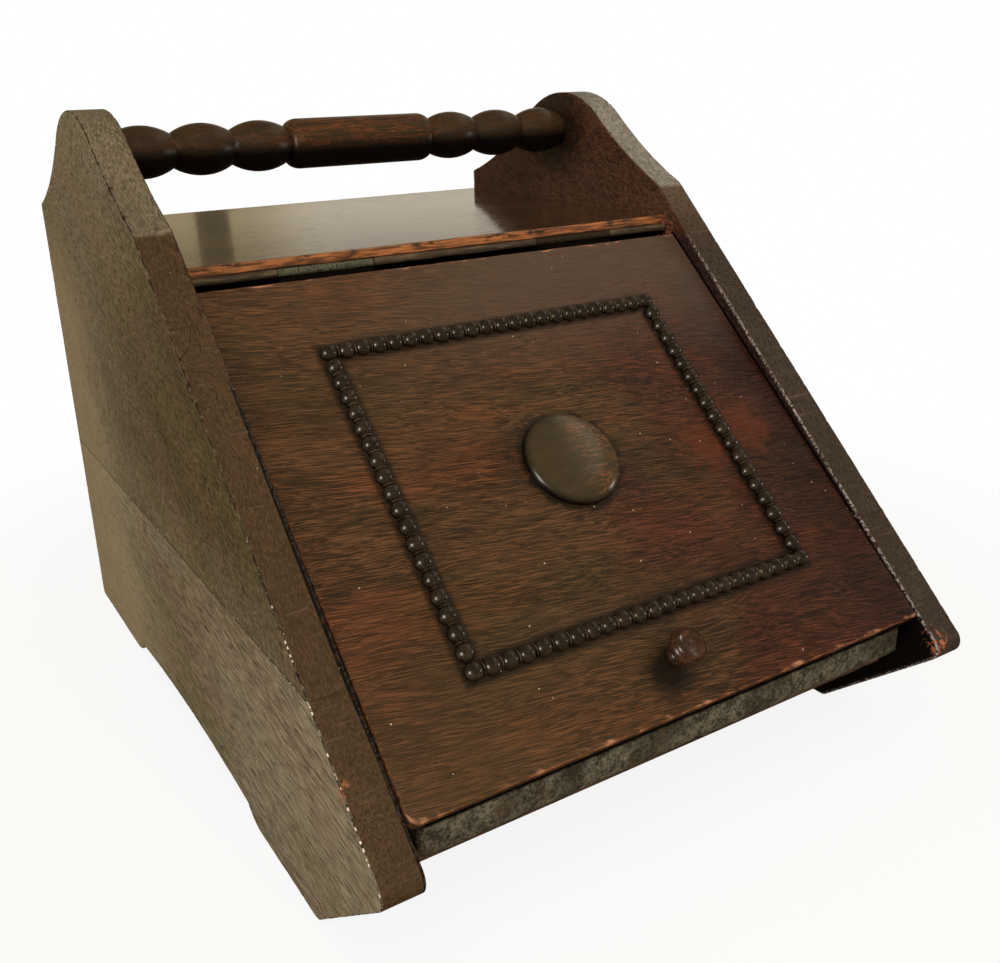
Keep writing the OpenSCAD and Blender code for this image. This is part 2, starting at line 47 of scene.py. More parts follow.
# Main sizes in millimetres, as in the part's source. LID, MOULDING and KNOB sizes are in the
# lid's own frame, up its slope from the hinge axis and out of its face.
DEPTH = 471.962
OUTER_X = 180.0
INNER_X = 159.5
CORNER_Z = 290.0
JOINT_Z = 124.0
SHOULDER = np.array([228.0, 295.5])
TOE = np.array([476.0, 64.5])
CROWN_CENTRE = np.array([122.0, 287.5])
CROWN_R = 64.0
BOARD_TOP = 276.2
BOARD_UNDER = 266.7
BOARD_FRONT_Y = 1.181
AXIS_Y = 0.181
AXIS_Z = 268.8
KNUCKLE_R = 2.1
HINGE_SPANS = [(-109.2, -52.4), (57.4, 114.2)]
LID_DEGREES = 41.1651
LID_ANGLE = np.radians(LID_DEGREES)
LID_X = 158.6
LID_LEFT = -157.9
LID_HEAD = -10.1
LID_FOOT = -290.1
LID_FACE = 5.1
LID_UNDER = -4.9
LEAF_T = 1.2
LEAF_IN_BOARD = 16.05
LEAF_IN_LID = 14.05
BEAD_PITCH = 9.45
BEADS_ACROSS = 23
BEADS_DOWN = 18
MOULDING_W = BEADS_ACROSS * BEAD_PITCH - 9.4
MOULDING_H = 179.5
MOULDING_UP = -59.1 - MOULDING_H / 2
KNOB_UP = -263.6
HANDLE_Y = 117.981
HANDLE_Z = 326.5
SPIGOT_R = 8
SPIGOT_LEN = 12
BACK_SPLIT = 148.329
BACK_FOOT = 29.96
BACK_T = 9.5

# Directions up the lid's slope and out of its face, and the lid's face along the second
SLOPE_UP = (0, float(np.cos(LID_ANGLE)), float(np.sin(LID_ANGLE)))
SLOPE_OUT = (0, -float(np.sin(LID_ANGLE)), float(np.cos(LID_ANGLE)))
LID_PLANE = float(AXIS_Z * MM * SLOPE_OUT[2] + LID_FACE * MM)


def at(reach):
    """Y of a reach."""
    return DEPTH / 2 - reach


# ---- Lines ----

def bow(start, end, sag, steps=14):
    """Points of the circular arc from start to end, whose middle stands sag to the left
    of the straight line between them. Both ends are left out."""
    start, end = np.array(start, float), np.array(end, float)
    chord = np.linalg.norm(end - start)
    along = (end - start) / chord
    side = np.array([-along[1], along[0]])
    radius = (chord ** 2 / 4 + sag ** 2) / (2 * sag)
    half = np.arcsin(chord / 2 / radius)
    centre = (start + end) / 2 - side * (radius - sag)
    turn = half * (1 - 2 * np.arange(1, steps) / steps)
    return centre + radius * (np.outer(np.cos(turn), side) - np.outer(np.sin(turn), along))


def rounded(before, corner, after, radius, steps=10):
    """Points of the arc of a given radius that rounds a corner between two others."""
    before, corner, after = (np.array(p, float) for p in (before, corner, after))
    u = (before - corner) / np.linalg.norm(before - corner)
    v = (after - corner) / np.linalg.norm(after - corner)
    half = np.arccos(u @ v) / 2
    centre = corner + (u + v) / np.linalg.norm(u + v) * radius / np.sin(half)
    first = (corner + u * radius / np.tan(half) - centre) / radius
    last = (corner + v * radius / np.tan(half) - centre) / radius
    turn = np.arccos(first @ last)
    share = np.linspace(0, 1, steps + 1)[:, None]
    return centre + radius * (first * np.sin(turn * (1 - share))
                              + last * np.sin(turn * share)) / np.sin(turn)


def crown_arc():
    """The round top of an ear, from its front end to its back end."""
    angle = np.radians(np.linspace(41, -42, 40))
    return CROWN_CENTRE + CROWN_R * np.stack([np.sin(angle), np.cos(angle)], -1)


def upper_outline():
    """A cheek's upper board in reach and height: slope, rounded shoulder, the ear's front
    bowed by its sag, crown, the ear's back, and the rounded corner at the back edge."""
    shoulder_r, corner_r, front_sag, back_sag = 3, 2, 2.4, 4.8
    crown = crown_arc()
    shoulder = rounded(TOE, SHOULDER, crown[0], shoulder_r)
    corner = rounded(crown[-1], [0, CORNER_Z], [0, 0], corner_r)
    return np.vstack([[slope_at(JOINT_Z)], shoulder, bow(shoulder[-1], crown[0], front_sag),
                      crown, bow(crown[-1], corner[0], back_sag), corner, [[0, JOINT_Z]]])


def slope_at(height):
    """The point of the cheeks' sloping front at a height."""
    share = (height - TOE[1]) / (SHOULDER[1] - TOE[1])
    return TOE + (SHOULDER - TOE) * share


def lower_outline():
    """A cheek's lower board: back, rear foot, arch, front foot, toe and slope."""
    rear, front, heel = [96, 0], [328, 0], [400, 0]
    arch_back, arch_front = [114, 8], [310, 8]
    return np.vstack([[[0, JOINT_Z]], rounded([0, CORNER_Z], [0, 0], rear, 4),
                      [rear], bow(rear, arch_back, -2), [arch_back],
                      bow(arch_back, arch_front, 5), [arch_front],
                      bow(arch_front, front, -2), [front],
                      rounded(front, heel, TOE, 6), rounded(heel, TOE, SHOULDER, 8),
                      [slope_at(JOINT_Z)]])


def resampled(outline, step):
    """A closed outline with its own corners kept and points added between them."""
    ring = np.vstack([outline, outline[:1]])
    run = np.concatenate([[0], np.cumsum(np.linalg.norm(np.diff(ring, axis=0), axis=1))])
    even = np.arange(0, run[-1], step)
    far = np.abs(even[:, None] - run).min(1) > step / 3
    along = np.sort(np.concatenate([run[:-1], even[far]]))
    points = np.stack([np.interp(along, run, ring[:, k]) for k in (0, 1)], -1)
    return points, along, run[-1]


def inward(points):
    """The mitre that moves each point of a closed outline inwards by one."""
    ahead = np.roll(points, -1, 0) - points
    ahead /= np.linalg.norm(ahead, axis=1)[:, None]
    normal = np.stack([-ahead[:, 1], ahead[:, 0]], -1)
    before = np.roll(normal, 1, 0)
    mitre = (normal + before) / (1 + (normal * before).sum(1))[:, None]
    x, y = points.T
    turning = (x * np.roll(y, -1) - np.roll(x, -1) * y).sum()
    return mitre * np.sign(turning)


def shrunk(points, mitre, inset):
    """The outline moved inwards. Where it would cross itself at a tight corner, the loop
    is drawn out straight between the points that are still as far in as they should be."""
    moved = points + mitre * inset[:, None]
    start, step = points, np.roll(points, -1, 0) - points
    gap = moved[:, None] - start
    share = np.clip((gap * step).sum(-1) / (step ** 2).sum(-1), 0, 1)
    far = np.linalg.norm(gap - share[..., None] * step, axis=-1).min(1)
    good = far > inset * 0.97 - 1e-6
    count = np.arange(len(points))
    for k in (0, 1):
        moved[:, k] = np.interp(count, count[good], moved[good, k], period=len(points))
    return moved


def chips(along, length, count, deep, wide, seed):
    """Extra width of an arris at each distance along it: the largest of a number of bells
    of random place, depth and width."""
    rng = np.random.default_rng(seed)
    place = rng.random(count) * length
    depth = deep * rng.random(count) ** 2.5
    width = wide * (0.25 + rng.random(count))
    gap = np.abs(along[:, None] - place)
    gap = np.minimum(gap, length - gap)
    return (depth * np.exp(-(gap / width) ** 2)).max(1)


def waver(along, length, size, seed):
    """A smooth random line: sines of 8 to 40 waves over the length, of falling height."""
    rng = np.random.default_rng(seed)
    waves = np.arange(8, 40, 4)
    turn = along[:, None] / length * waves + rng.random(len(waves))
    return size * (np.sin(2 * np.pi * turn) / np.sqrt(waves)).sum(1)


# ---- Meshes ----

def surface(name, rings, marks=None, sharp=38):
    """A mesh from rings[copy, ring, point, xyz]. Quads join each ring to the next and each
    point to the next, the last one to the first, and one face closes each end. marks are
    numbers at the points, by name."""
    if rings.ndim == 3:
        rings = rings[None]
    copies, count, around = rings.shape[:3]
    index = np.arange(copies * count * around).reshape(copies, count, around)
    here, there = index[:, :-1], index[:, 1:]
    quads = np.stack([here, np.roll(here, -1, 2), np.roll(there, -1, 2), there], -1)
    faces = quads.reshape(-1, 4).tolist()
    faces += index[:, 0, ::-1].tolist() + index[:, -1].tolist()
    mesh = bpy.data.meshes.new(name)
    mesh.from_pydata((rings.reshape(-1, 3) * MM).tolist(), [], faces)
    for mark, values in (marks or {}).items():
        layer = mesh.attributes.new(mark, "FLOAT", "POINT")
        layer.data.foreach_set("value", np.ascontiguousarray(values, np.float32).ravel())
    shell = bmesh.new()
    shell.from_mesh(mesh)
    bmesh.ops.remove_doubles(shell, verts=shell.verts, dist=2e-7)
    bmesh.ops.recalc_face_normals(shell, faces=shell.faces)
    shell.to_mesh(mesh)
    shell.free()
    mesh.shade_smooth()
    mesh.set_sharp_from_angle(angle=np.radians(sharp))
    piece = bpy.data.objects.new(name, mesh)
    bpy.context.scene.collection.objects.link(piece)
    return piece


def board(name, outline, low, high, stand, arris, chip, seed, step=1.6):
    """A board whose edge section is carried round its outline.

    The section has a quarter round of radius r on each face, where r is the arris plus
    its chips, a wall between them and a flat ring inside each: a point is the outline's
    point plus its inward mitre times the inset r(1 - sin t), at the depth r(1 - cos t)."""
    points, along, length = resampled(outline, step)
    mitre = inward(points)
    softness = arris(points) if callable(arris) else np.full(len(points), arris)
    layers, wear, bare = [], [], []
    count, deep, wide = chip
    for face, sign in ((low, 1), (high, -1)):
        nick = chips(along, length, count, deep, wide, seed + (sign > 0))
        soft = softness * (1 + waver(along, length, 0.2, seed + 7 + sign))
        nick = nick * np.clip(softness * 2, 0, 1)
        radius = np.clip(soft, 0.15, None) + nick
        side, side_wear, side_bare = [], [], []
        for inset, worn in ((6.0, 0.0), (3.2, 0.12)):
            side.append((np.maximum(inset, radius + 0.2), np.full(len(points), face)))
            side_wear.append(np.full(len(points), worn))
            side_bare.append(np.zeros(len(points)))
        for turn in np.radians([0, 22, 45, 68, 90]):
            depth = face + sign * radius * (1 - np.cos(turn))
            side.append((radius * (1 - np.sin(turn)), depth))
            side_wear.append(0.45 + 0.55 * np.sin(2 * turn) + 0 * radius)
            side_bare.append(np.clip(nick / 0.6, 0, 1))
        side.append((np.zeros(len(points)), face + sign * (radius + 2.5)))
        side_wear.append(np.full(len(points), 0.0))
        side_bare.append(np.zeros(len(points)))
        if sign < 0:
            side, side_wear, side_bare = side[::-1], side_wear[::-1], side_bare[::-1]
        layers, wear, bare = layers + side, wear + side_wear, bare + side_bare
    rings = np.array([stand(shrunk(points, mitre, inset), depth) for inset, depth in layers])
    return surface(name, rings, {"wear": np.array(wear), "bare": np.array(bare)})


def cheek_stand(points, depth):
    """From reach and height, with X as the depth, to the part's frame."""
    return np.stack([depth, at(points[:, 0]), points[:, 1]], -1)


def cross_stand(points, depth):
    """From X and height, with Y as the depth, to the part's frame."""
    return np.stack([points[:, 0], depth, points[:, 1]], -1)


def on_lid(points):
    """From the lid's own frame at the hinge axis, with Y up the slope and Z out of the
    face, to the part's frame."""
    c, s = np.cos(LID_ANGLE), np.sin(LID_ANGLE)
    x, y, z = np.moveaxis(np.asarray(points, float), -1, 0)
    return np.stack([x, AXIS_Y + y * c - z * s, AXIS_Z + y * s + z * c], -1)


def turned(profile, around=96):
    """Rings of a turned shape: each (radius, height) of the profile is carried once
    round the Z axis."""
    radius, height = np.array(profile, float).T
    turn = np.linspace(0, 2 * np.pi, around, endpoint=False)
    return np.stack([np.outer(radius, np.cos(turn)), np.outer(radius, np.sin(turn)),
                     np.repeat(height[:, None], around, 1)], -1)


def stations(low, high, step, extra=(), soft=1.0):
    """Distances along a board: even steps, close ones where its end is rounded, and two
    at each extra place, for a wall there."""
    near = soft * (1 - np.cos(np.radians([0, 22, 45, 68, 90])))
    ends = np.concatenate([low + near, high - near, [low + 3, high - 3]])
    even = np.arange(low + 4, high - 4, step)
    walls = np.repeat(np.array(extra, float), 2)
    return np.sort(np.concatenate([ends, even, walls]))


def in_pockets(x):
    """Whether each station is in a hinge's pocket: of the two at a wall, the one inside."""
    inside = np.zeros(len(x), bool)
    for left, right in HINGE_SPANS:
        inside |= (x > left) & (x < right)
        inside[np.flatnonzero(x == left)[-1:]] = True
        inside[np.flatnonzero(x == right)[:1]] = True
    return inside


def quarter(y, z, out_y, out_z, radius, steps=5):
    """Columns of points that round the arris at (y, z), from the face that looks along
    Y to the face that looks along Z. All but steps are numbers for each station."""
    turn = np.linspace(0, np.pi / 2, steps)
    return [(y - out_y * radius * (1 - np.cos(t)), z - out_z * radius * (1 - np.sin(t)))
            for t in turn]


# ---- Wooden boards ----

def cheek_arris(points):
    """Softness of a cheek board's arris: little at the glued joint."""
    return np.where(np.abs(points[:, 1] - JOINT_Z) < 0.5, 0.22, 0.75)


def make_cheeks():
    """Both cheeks, each an upper and a lower board with nicked arrises."""
    made = []
    for side, sign in (("left", -1), ("right", 1)):
        low, high = sorted((sign * (OUTER_X - 0.12), sign * INNER_X))
        for level, outline, seed in (("upper", upper_outline(), 11),
                                     ("lower", lower_outline(), 23)):
            made.append((board(f"{side}_cheek_{level}_boarding", outline, low, high,
                               cheek_stand, cheek_arris, (260, 1.0, 1.0), seed + sign),
                         f"{side}_cheek_{level}_board"))
    return made


def make_lid():
    """The lid, as a section carried across it.

    The section is a rectangle with a quarter round at each arris; at the hinges it has a
    notch for the leaf. Near each end it is clipped to a smaller rectangle, by the depth
    that a quarter round has there, and its foot follows the rounded lower corners."""
    x = stations(LID_LEFT, LID_X, 1.6, [a for span in HINGE_SPANS for a in span])
    along, length = x - LID_LEFT, LID_X - LID_LEFT
    end = np.minimum(along, length - along)
    round_off = np.where(x < 0, 5.5, 1.4)
    corner = np.clip(round_off - end, 0, round_off)
    foot = LID_FOOT + round_off - np.sqrt(round_off ** 2 - corner ** 2)
    head = np.full(len(x), LID_HEAD)
    nick_foot = chips(along, length, 46, 1.0, 2.5, 5)
    nick_head = chips(along, length, 30, 0.9, 3.0, 6)
    foot_r = 0.9 + waver(along, length, 0.12, 8) + nick_foot
    head_r = 0.8 + waver(along, length, 0.12, 9) + nick_head
    pocket = np.where(in_pockets(x), -KNUCKLE_R + LEAF_T, LID_UNDER)
    face = np.full(len(x), LID_FACE)
    under = np.full(len(x), LID_UNDER)
    columns = quarter(head, face, 1, 1, head_r)
    marks = [(worn, nick_head) for worn in (0.4, 0.8, 1, 0.8, 0.5)]
    for inset, worn in ((2.5, 0.25), (7, 0)):
        columns.append((head - inset, face))
        marks.append((worn, 0 * head))
    for inset, worn in ((7, 0), (2.5, 0.25)):
        columns.append((foot + inset, face))
        marks.append((worn, 0 * head))
    columns += quarter(foot, face, -1, 1, foot_r)[::-1]
    marks += [(worn, nick_foot) for worn in (0.5, 0.8, 1, 0.8, 0.4)]
    columns += quarter(foot, under, -1, -1, 0.7 + 0 * head)
    marks += [(0.4, 0 * head)] * 5
    notch = np.full(len(x), LID_HEAD - LEAF_IN_LID)
    columns += [(notch, under), (notch, pocket), (head - 0.3, pocket), (head, pocket + 0.3)]
    marks += [(0, 0 * head)] * 4
    y, z = (np.array(c) for c in zip(*columns))
    soft = np.clip(1 - end, 0, 1)
    clip = 1 - np.sqrt(1 - soft ** 2)
    y = np.clip(y, foot + clip, head - clip)
    z = np.clip(z, under + clip, face - clip)
    rings = on_lid(np.stack([np.broadcast_to(x, y.shape), y, z], -1)).transpose(1, 0, 2)
    wear = np.array([m[0] + 0 * head for m in marks]).T
    wear = np.maximum(wear, np.clip(1 - end / 1.6, 0, 1)[:, None] * 0.8)
    bare = np.array([np.clip(m[1] / 0.5, 0, 1) for m in marks]).T
    return surface("lid_panel", rings, {"wear": wear, "bare": bare})


def make_top_board():
    """The top board, as a section carried across it: a rectangle with a worn front arris,
    a hollow for the bead and the knuckles, and a notch below for each hinge leaf."""
    x = stations(-INNER_X, INNER_X, 1.6, [a for span in HINGE_SPANS for a in span], 0.3)
    along, length = x + INNER_X, 2 * INNER_X
    front = np.full(len(x), BOARD_FRONT_Y)
    top = np.full(len(x), BOARD_TOP)
    nick = chips(along, length, 60, 1.1, 3.0, 31)
    radius = 1.0 + waver(along, length, 0.15, 32) + nick
    inside = in_pockets(x)
    hollow = np.where(inside, KNUCKLE_R + 0.4, KNUCKLE_R + 0.1)
    roof = np.where(inside, BOARD_UNDER + LEAF_T, BOARD_UNDER)
    back = np.full(len(x), at(0))
    columns = [(back, roof * 0 + BOARD_UNDER + 0.4), (back, top - 0.8), (back - 0.8, top),
               (front + 9, top), (front + 3.5, top)]
    marks = [(0.1, 0), (0.5, 0), (0.5, 0), (0, 0), (0.2, 0)]
    columns += quarter(front, top, -1, 1, radius)[::-1]
    marks += [(1, nick)] * 5
    columns.append((front, front * 0 + BOARD_TOP - 4.2))
    marks.append((1, 0))
    for turn in np.radians([62, 35, 0, -30, -58]):
        columns.append((np.maximum(AXIS_Y + hollow * np.cos(turn), BOARD_FRONT_Y),
                        AXIS_Z + hollow * np.sin(turn)))
        marks.append((0.1, 0))
    notch = np.where(inside, AXIS_Y + LEAF_IN_BOARD, AXIS_Y + 2.6)
    columns += [(notch * 0 + AXIS_Y + 2.5, roof), (notch, roof), (notch, BOARD_UNDER + 0 * notch)]
    marks += [(0, 0)] * 3
    y, z = (np.array(c) for c in zip(*columns))
    rings = np.stack([np.broadcast_to(x, y.shape), y, z], -1).transpose(1, 0, 2)
    wear = np.array([m[0] + 0 * front for m in marks]).T
    bare = np.array([np.clip(m[1] / 0.5, 0, 1) + 0 * front for m in marks]).T
    return surface("top_boarding", rings, {"wear": wear, "bare": bare})


def rectangle(left, right, low, high):
    """Corners of an upright or level rectangle."""
    return np.array([[left, low], [right, low], [right, high], [left, high]], float)


def make_back_boards():
    """The two back boards between the cheeks."""
    made = []
    for level, low, high, seed in (("lower", BACK_FOOT, BACK_SPLIT, 41),
                                   ("upper", BACK_SPLIT, BOARD_UNDER, 43)):
        outline = rectangle(-INNER_X, INNER_X, low, high)
        made.append((board(f"back_{level}_boarding", outline, at(BACK_T), at(0), cross_stand,
                           0.5, (20, 0.6, 2), seed, 3), f"back_board_{level}"))
    return made


def make_pellets():
    """Six discs over the cheek screws, a little domed, as turned shapes. Each place is a
    reach and a height."""
    profile = [(0, -3.9), (3.85, -3.9), (3.95, -0.3), (3.8, -0.05), (2, 0), (0, 0)]
    rings = turned(profile, 32)
    places = [(12, 271.45), (403.966, 48.458), (373.966, 16)]
    copies = []
    for sign in (-1, 1):
        for reach, height in places:
            x, y, z = np.moveaxis(rings, -1, 0)
            copies.append(np.stack([sign * (OUTER_X + z), at(reach) + x, height + y], -1))
    return surface("pellets", np.array(copies))


# ---- Turned pieces ----

def handle_profile():
    """Half of the handle as (distance along, radius): the plain middle with round ends and
    three beads, each a circular arc, then the spigot."""
    groove, grip, middle, bead, end_round = 10.0, 15.2, 50.3, 36.4, 8
    turn = np.linspace(0, np.pi / 2, 14)
    parts = [np.array([[0, grip], [20, grip], [36, grip]]),
             np.stack([middle - end_round * (1 - np.sin(turn)),
                       groove + (grip - groove) * np.cos(turn)], -1)]
    for k in range(3):
        start = np.array([middle + k * bead, groove])
        end = start + [bead, 0]
        parts += [bow(start, end, grip - groove, 26), [end - [0.3, 0]] if k < 2 else [end]]
    spigot_end = INNER_X + SPIGOT_LEN
    parts += [[[INNER_X, SPIGOT_R]], [[spigot_end, SPIGOT_R]], [[spigot_end, 0]]]
    return np.vstack(parts)


def make_handle():
    """The carry handle, turned about its own axis along X."""
    half = handle_profile()
    whole = np.vstack([half[:0:-1] * [-1, 1], half])
    rings = turned(whole[:, ::-1], 128)
    y, z, x = np.moveaxis(rings, -1, 0)
    return surface("bobbin_handle", np.stack([x, HANDLE_Y + y, HANDLE_Z + z], -1))


def bead_strip(name, centre, along, count, seed):
    """A strip of half-round beads with a thin collar between each two, as a section carried
    along it. At a distance d from a bead's middle the section is an arc of radius
    sqrt(R^2 - d^2) round a line 1 mm over the lid, and at a collar one of a fixed radius;
    what would be under the lid's face lies on it. Each bead has a small random size and
    place."""
    rng = np.random.default_rng(seed)
    ball, lift, around = 4.66, 1.0, 22
    collar_at, collar_r = [4.58, 4.60, 4.73, 4.86, 4.88], [0.9, 3.2, 3.4, 3.2, 0.9]
    fall = np.radians(np.linspace(-78, 78, 15))
    size = 1 + 0.025 * rng.standard_normal(count).clip(-1.5, 0.8)
    aside = 0.12 * rng.standard_normal(count).clip(-2, 2)
    middle = (np.arange(count) - (count - 1) / 2) * BEAD_PITCH
    step = np.concatenate([ball * np.sin(fall), collar_at])
    radius = np.concatenate([ball * np.cos(fall), collar_r])
    collar = np.concatenate([0 * fall, [0, 1, 1, 1, 0]])
    run = (middle[:, None] + step).ravel()[:-5]
    wide = (np.where(collar + (radius == 0.9) > 0, 1, size[:, None]) * radius).ravel()[:-5]
    drift = np.repeat(aside, len(step))[:-5]
    turn = np.radians(np.linspace(-14, 194, around))
    flat = drift[:, None] + np.outer(wide, np.cos(turn))
    rise = np.maximum(lift + np.outer(wide, np.sin(turn)), 0)
    along, across = np.array(along, float), np.array([-along[1], along[0]], float)
    plan = np.array(centre) + run[:, None, None] * along + flat[..., None] * across
    rings = np.concatenate([plan, (LID_FACE + rise)[..., None]], -1)
    tone = np.repeat(np.repeat(rng.random(count), len(step))[:-5], around)
    edge = np.repeat(np.tile(collar, count)[:-5], around)
    return surface(name, on_lid(rings), {"tone": tone, "wear": edge}, 42)


def make_beading():
    """Four strips of beads in a rectangle on the lid."""
    made = []
    for side, aside, up, along, count, seed in (
            ("top", 0, MOULDING_H / 2, [1, 0], BEADS_ACROSS, 51),
            ("bottom", 0, -MOULDING_H / 2, [1, 0], BEADS_ACROSS, 52),
            ("left", -MOULDING_W / 2, 0, [0, 1], BEADS_DOWN, 53),
            ("right", MOULDING_W / 2, 0, [0, 1], BEADS_DOWN, 54)):
        strip = bead_strip(f"beads_{side}", [aside, MOULDING_UP + up], along, count, seed)
        made.append((strip, f"beading_{side}"))
    return made


def make_boss():
    """The low round boss: a dome whose edge turns down over its base."""
    share = np.linspace(0, 1, 22)
    dome = [(27.5 * np.sin(np.pi / 2 * s) ** 0.9, 8 * np.cos(np.pi / 2 * s) ** 0.62)
            for s in share]
    rings = turned([*dome, (27.1, 0)], 128)
    rings[..., 1] += MOULDING_UP
    rings[..., 2] += LID_FACE
    return surface("round_boss", on_lid(rings))


def make_knob():
    """The turned knob: collar, neck, round rim, ring groove and dished face."""
    foot, collar, neck = [5.4, 0], [4.8, 5.1], [3.9, 6.4]
    under, rim, groove = [8.2, 9.3], [8.8, 14.4], [8.0, 14.1]
    inner, dish = [6.6, 16], [1.6, 15.0]
    parts = [[[0, 0]], [foot], bow(foot, collar, -0.9), [collar], [neck], bow(neck, under, 0.8),
             [under], bow(under, rim, -1.2), [rim], [[8.3, 13.9]], [groove],
             bow(groove, inner, -0.2), [inner], bow(inner, dish, 0.3), [dish], [[0, 15.4]]]
    rings = turned(np.vstack(parts), 96)
    rings[..., 1] += KNOB_UP
    rings[..., 2] += LID_FACE
    return surface("turned_knob", on_lid(rings))


def make_hinge_beads():
    """Three lengths of wooden bead in line with the knuckles, each a ring carried along X
    with a slight waver."""
    made = []
    ends = [-INNER_X, *[a for span in HINGE_SPANS for a in span], INNER_X]
    for name, k in (("left", 0), ("centre", 2), ("right", 4)):
        x = np.arange(ends[k] + 0.25, ends[k + 1] - 0.25, 1.5)
        x = np.append(x, ends[k + 1] - 0.25)
        radius = KNUCKLE_R - 0.04 + waver(x - x[0], x[-1] - x[0], 0.012, k)
        rings = turned(np.stack([radius, x], -1), 40)
        y, z, x = np.moveaxis(rings, -1, 0)
        piece = surface(f"cock_bead_{name}", np.stack([x, AXIS_Y + y, AXIS_Z + z], -1))
        made.append((piece, f"hinge_bead_{name}"))
    return made


# ---- Finishes ----

class Nodes:
    """Short calls that add nodes to a tree and give the socket to go on with."""

    def __init__(self, tree):
        self.tree = tree
        self.tree.nodes.clear()

    def add(self, kind, values=None, out=0, **settings):
        """A node with its settings and its inputs, by name or number."""
        node = self.tree.nodes.new("ShaderNode" + kind)
        for key, value in settings.items():
            setattr(node, key, value)
        for key, value in (values or {}).items():
            if isinstance(value, bpy.types.NodeSocket):
                self.tree.links.new(value, node.inputs[key])
            else:
                node.inputs[key].default_value = value
        return node.outputs[out] if node.outputs else None

    def rays(self):
        """Which kind of ray looks, as sockets by name."""
        return self.tree.nodes.new("ShaderNodeLightPath").outputs

    def calc(self, how, one, two=0.5):
        """One step of arithmetic, by Blender's name for it."""
        return self.add("Math", {0: one, 1: two}, operation=how)

    def times(self, first, *others):
        """The product of all that is given."""
        for other in others:
            first = self.calc("MULTIPLY", first, other)
        return first

    def plus(self, one, two):
        return self.calc("ADD", one, two)

    def minus(self, one, two):
        return self.calc("SUBTRACT", one, two)

    def most(self, one, two):
        return self.calc("MAXIMUM", one, two)

    def size(self, value):
        """A number without its sign."""
        return self.calc("ABSOLUTE", value)

    def step(self, value, low, high, to_low=0.0, to_high=1.0):
        """A value eased from one range to another."""
        return self.add("MapRange", {"Value": value, "From Min": low, "From Max": high,
                                     "To Min": to_low, "To Max": to_high},
                        interpolation_type="SMOOTHSTEP")

    def fall(self, value, low, high, full=1.0):
        """Full up to low, and eased to nothing at high."""
        return self.step(value, low, high, full, 0.0)

    def mix(self, share, one, two, how="MIX"):
        """A colour with a share of a second one."""
        return self.add("Mix", {0: share, 6: one, 7: two}, 2, data_type="RGBA",
                        blend_type=how)

    def tint(self, share, colour, by):
        """A colour multiplied by another, by a share."""
        return self.mix(share, colour, by, "MULTIPLY")

    def between(self, share, one, two):
        """A number that goes from one to two with a share."""
        return self.add("Mix", {0: share, 2: one, 3: two}, data_type="FLOAT")


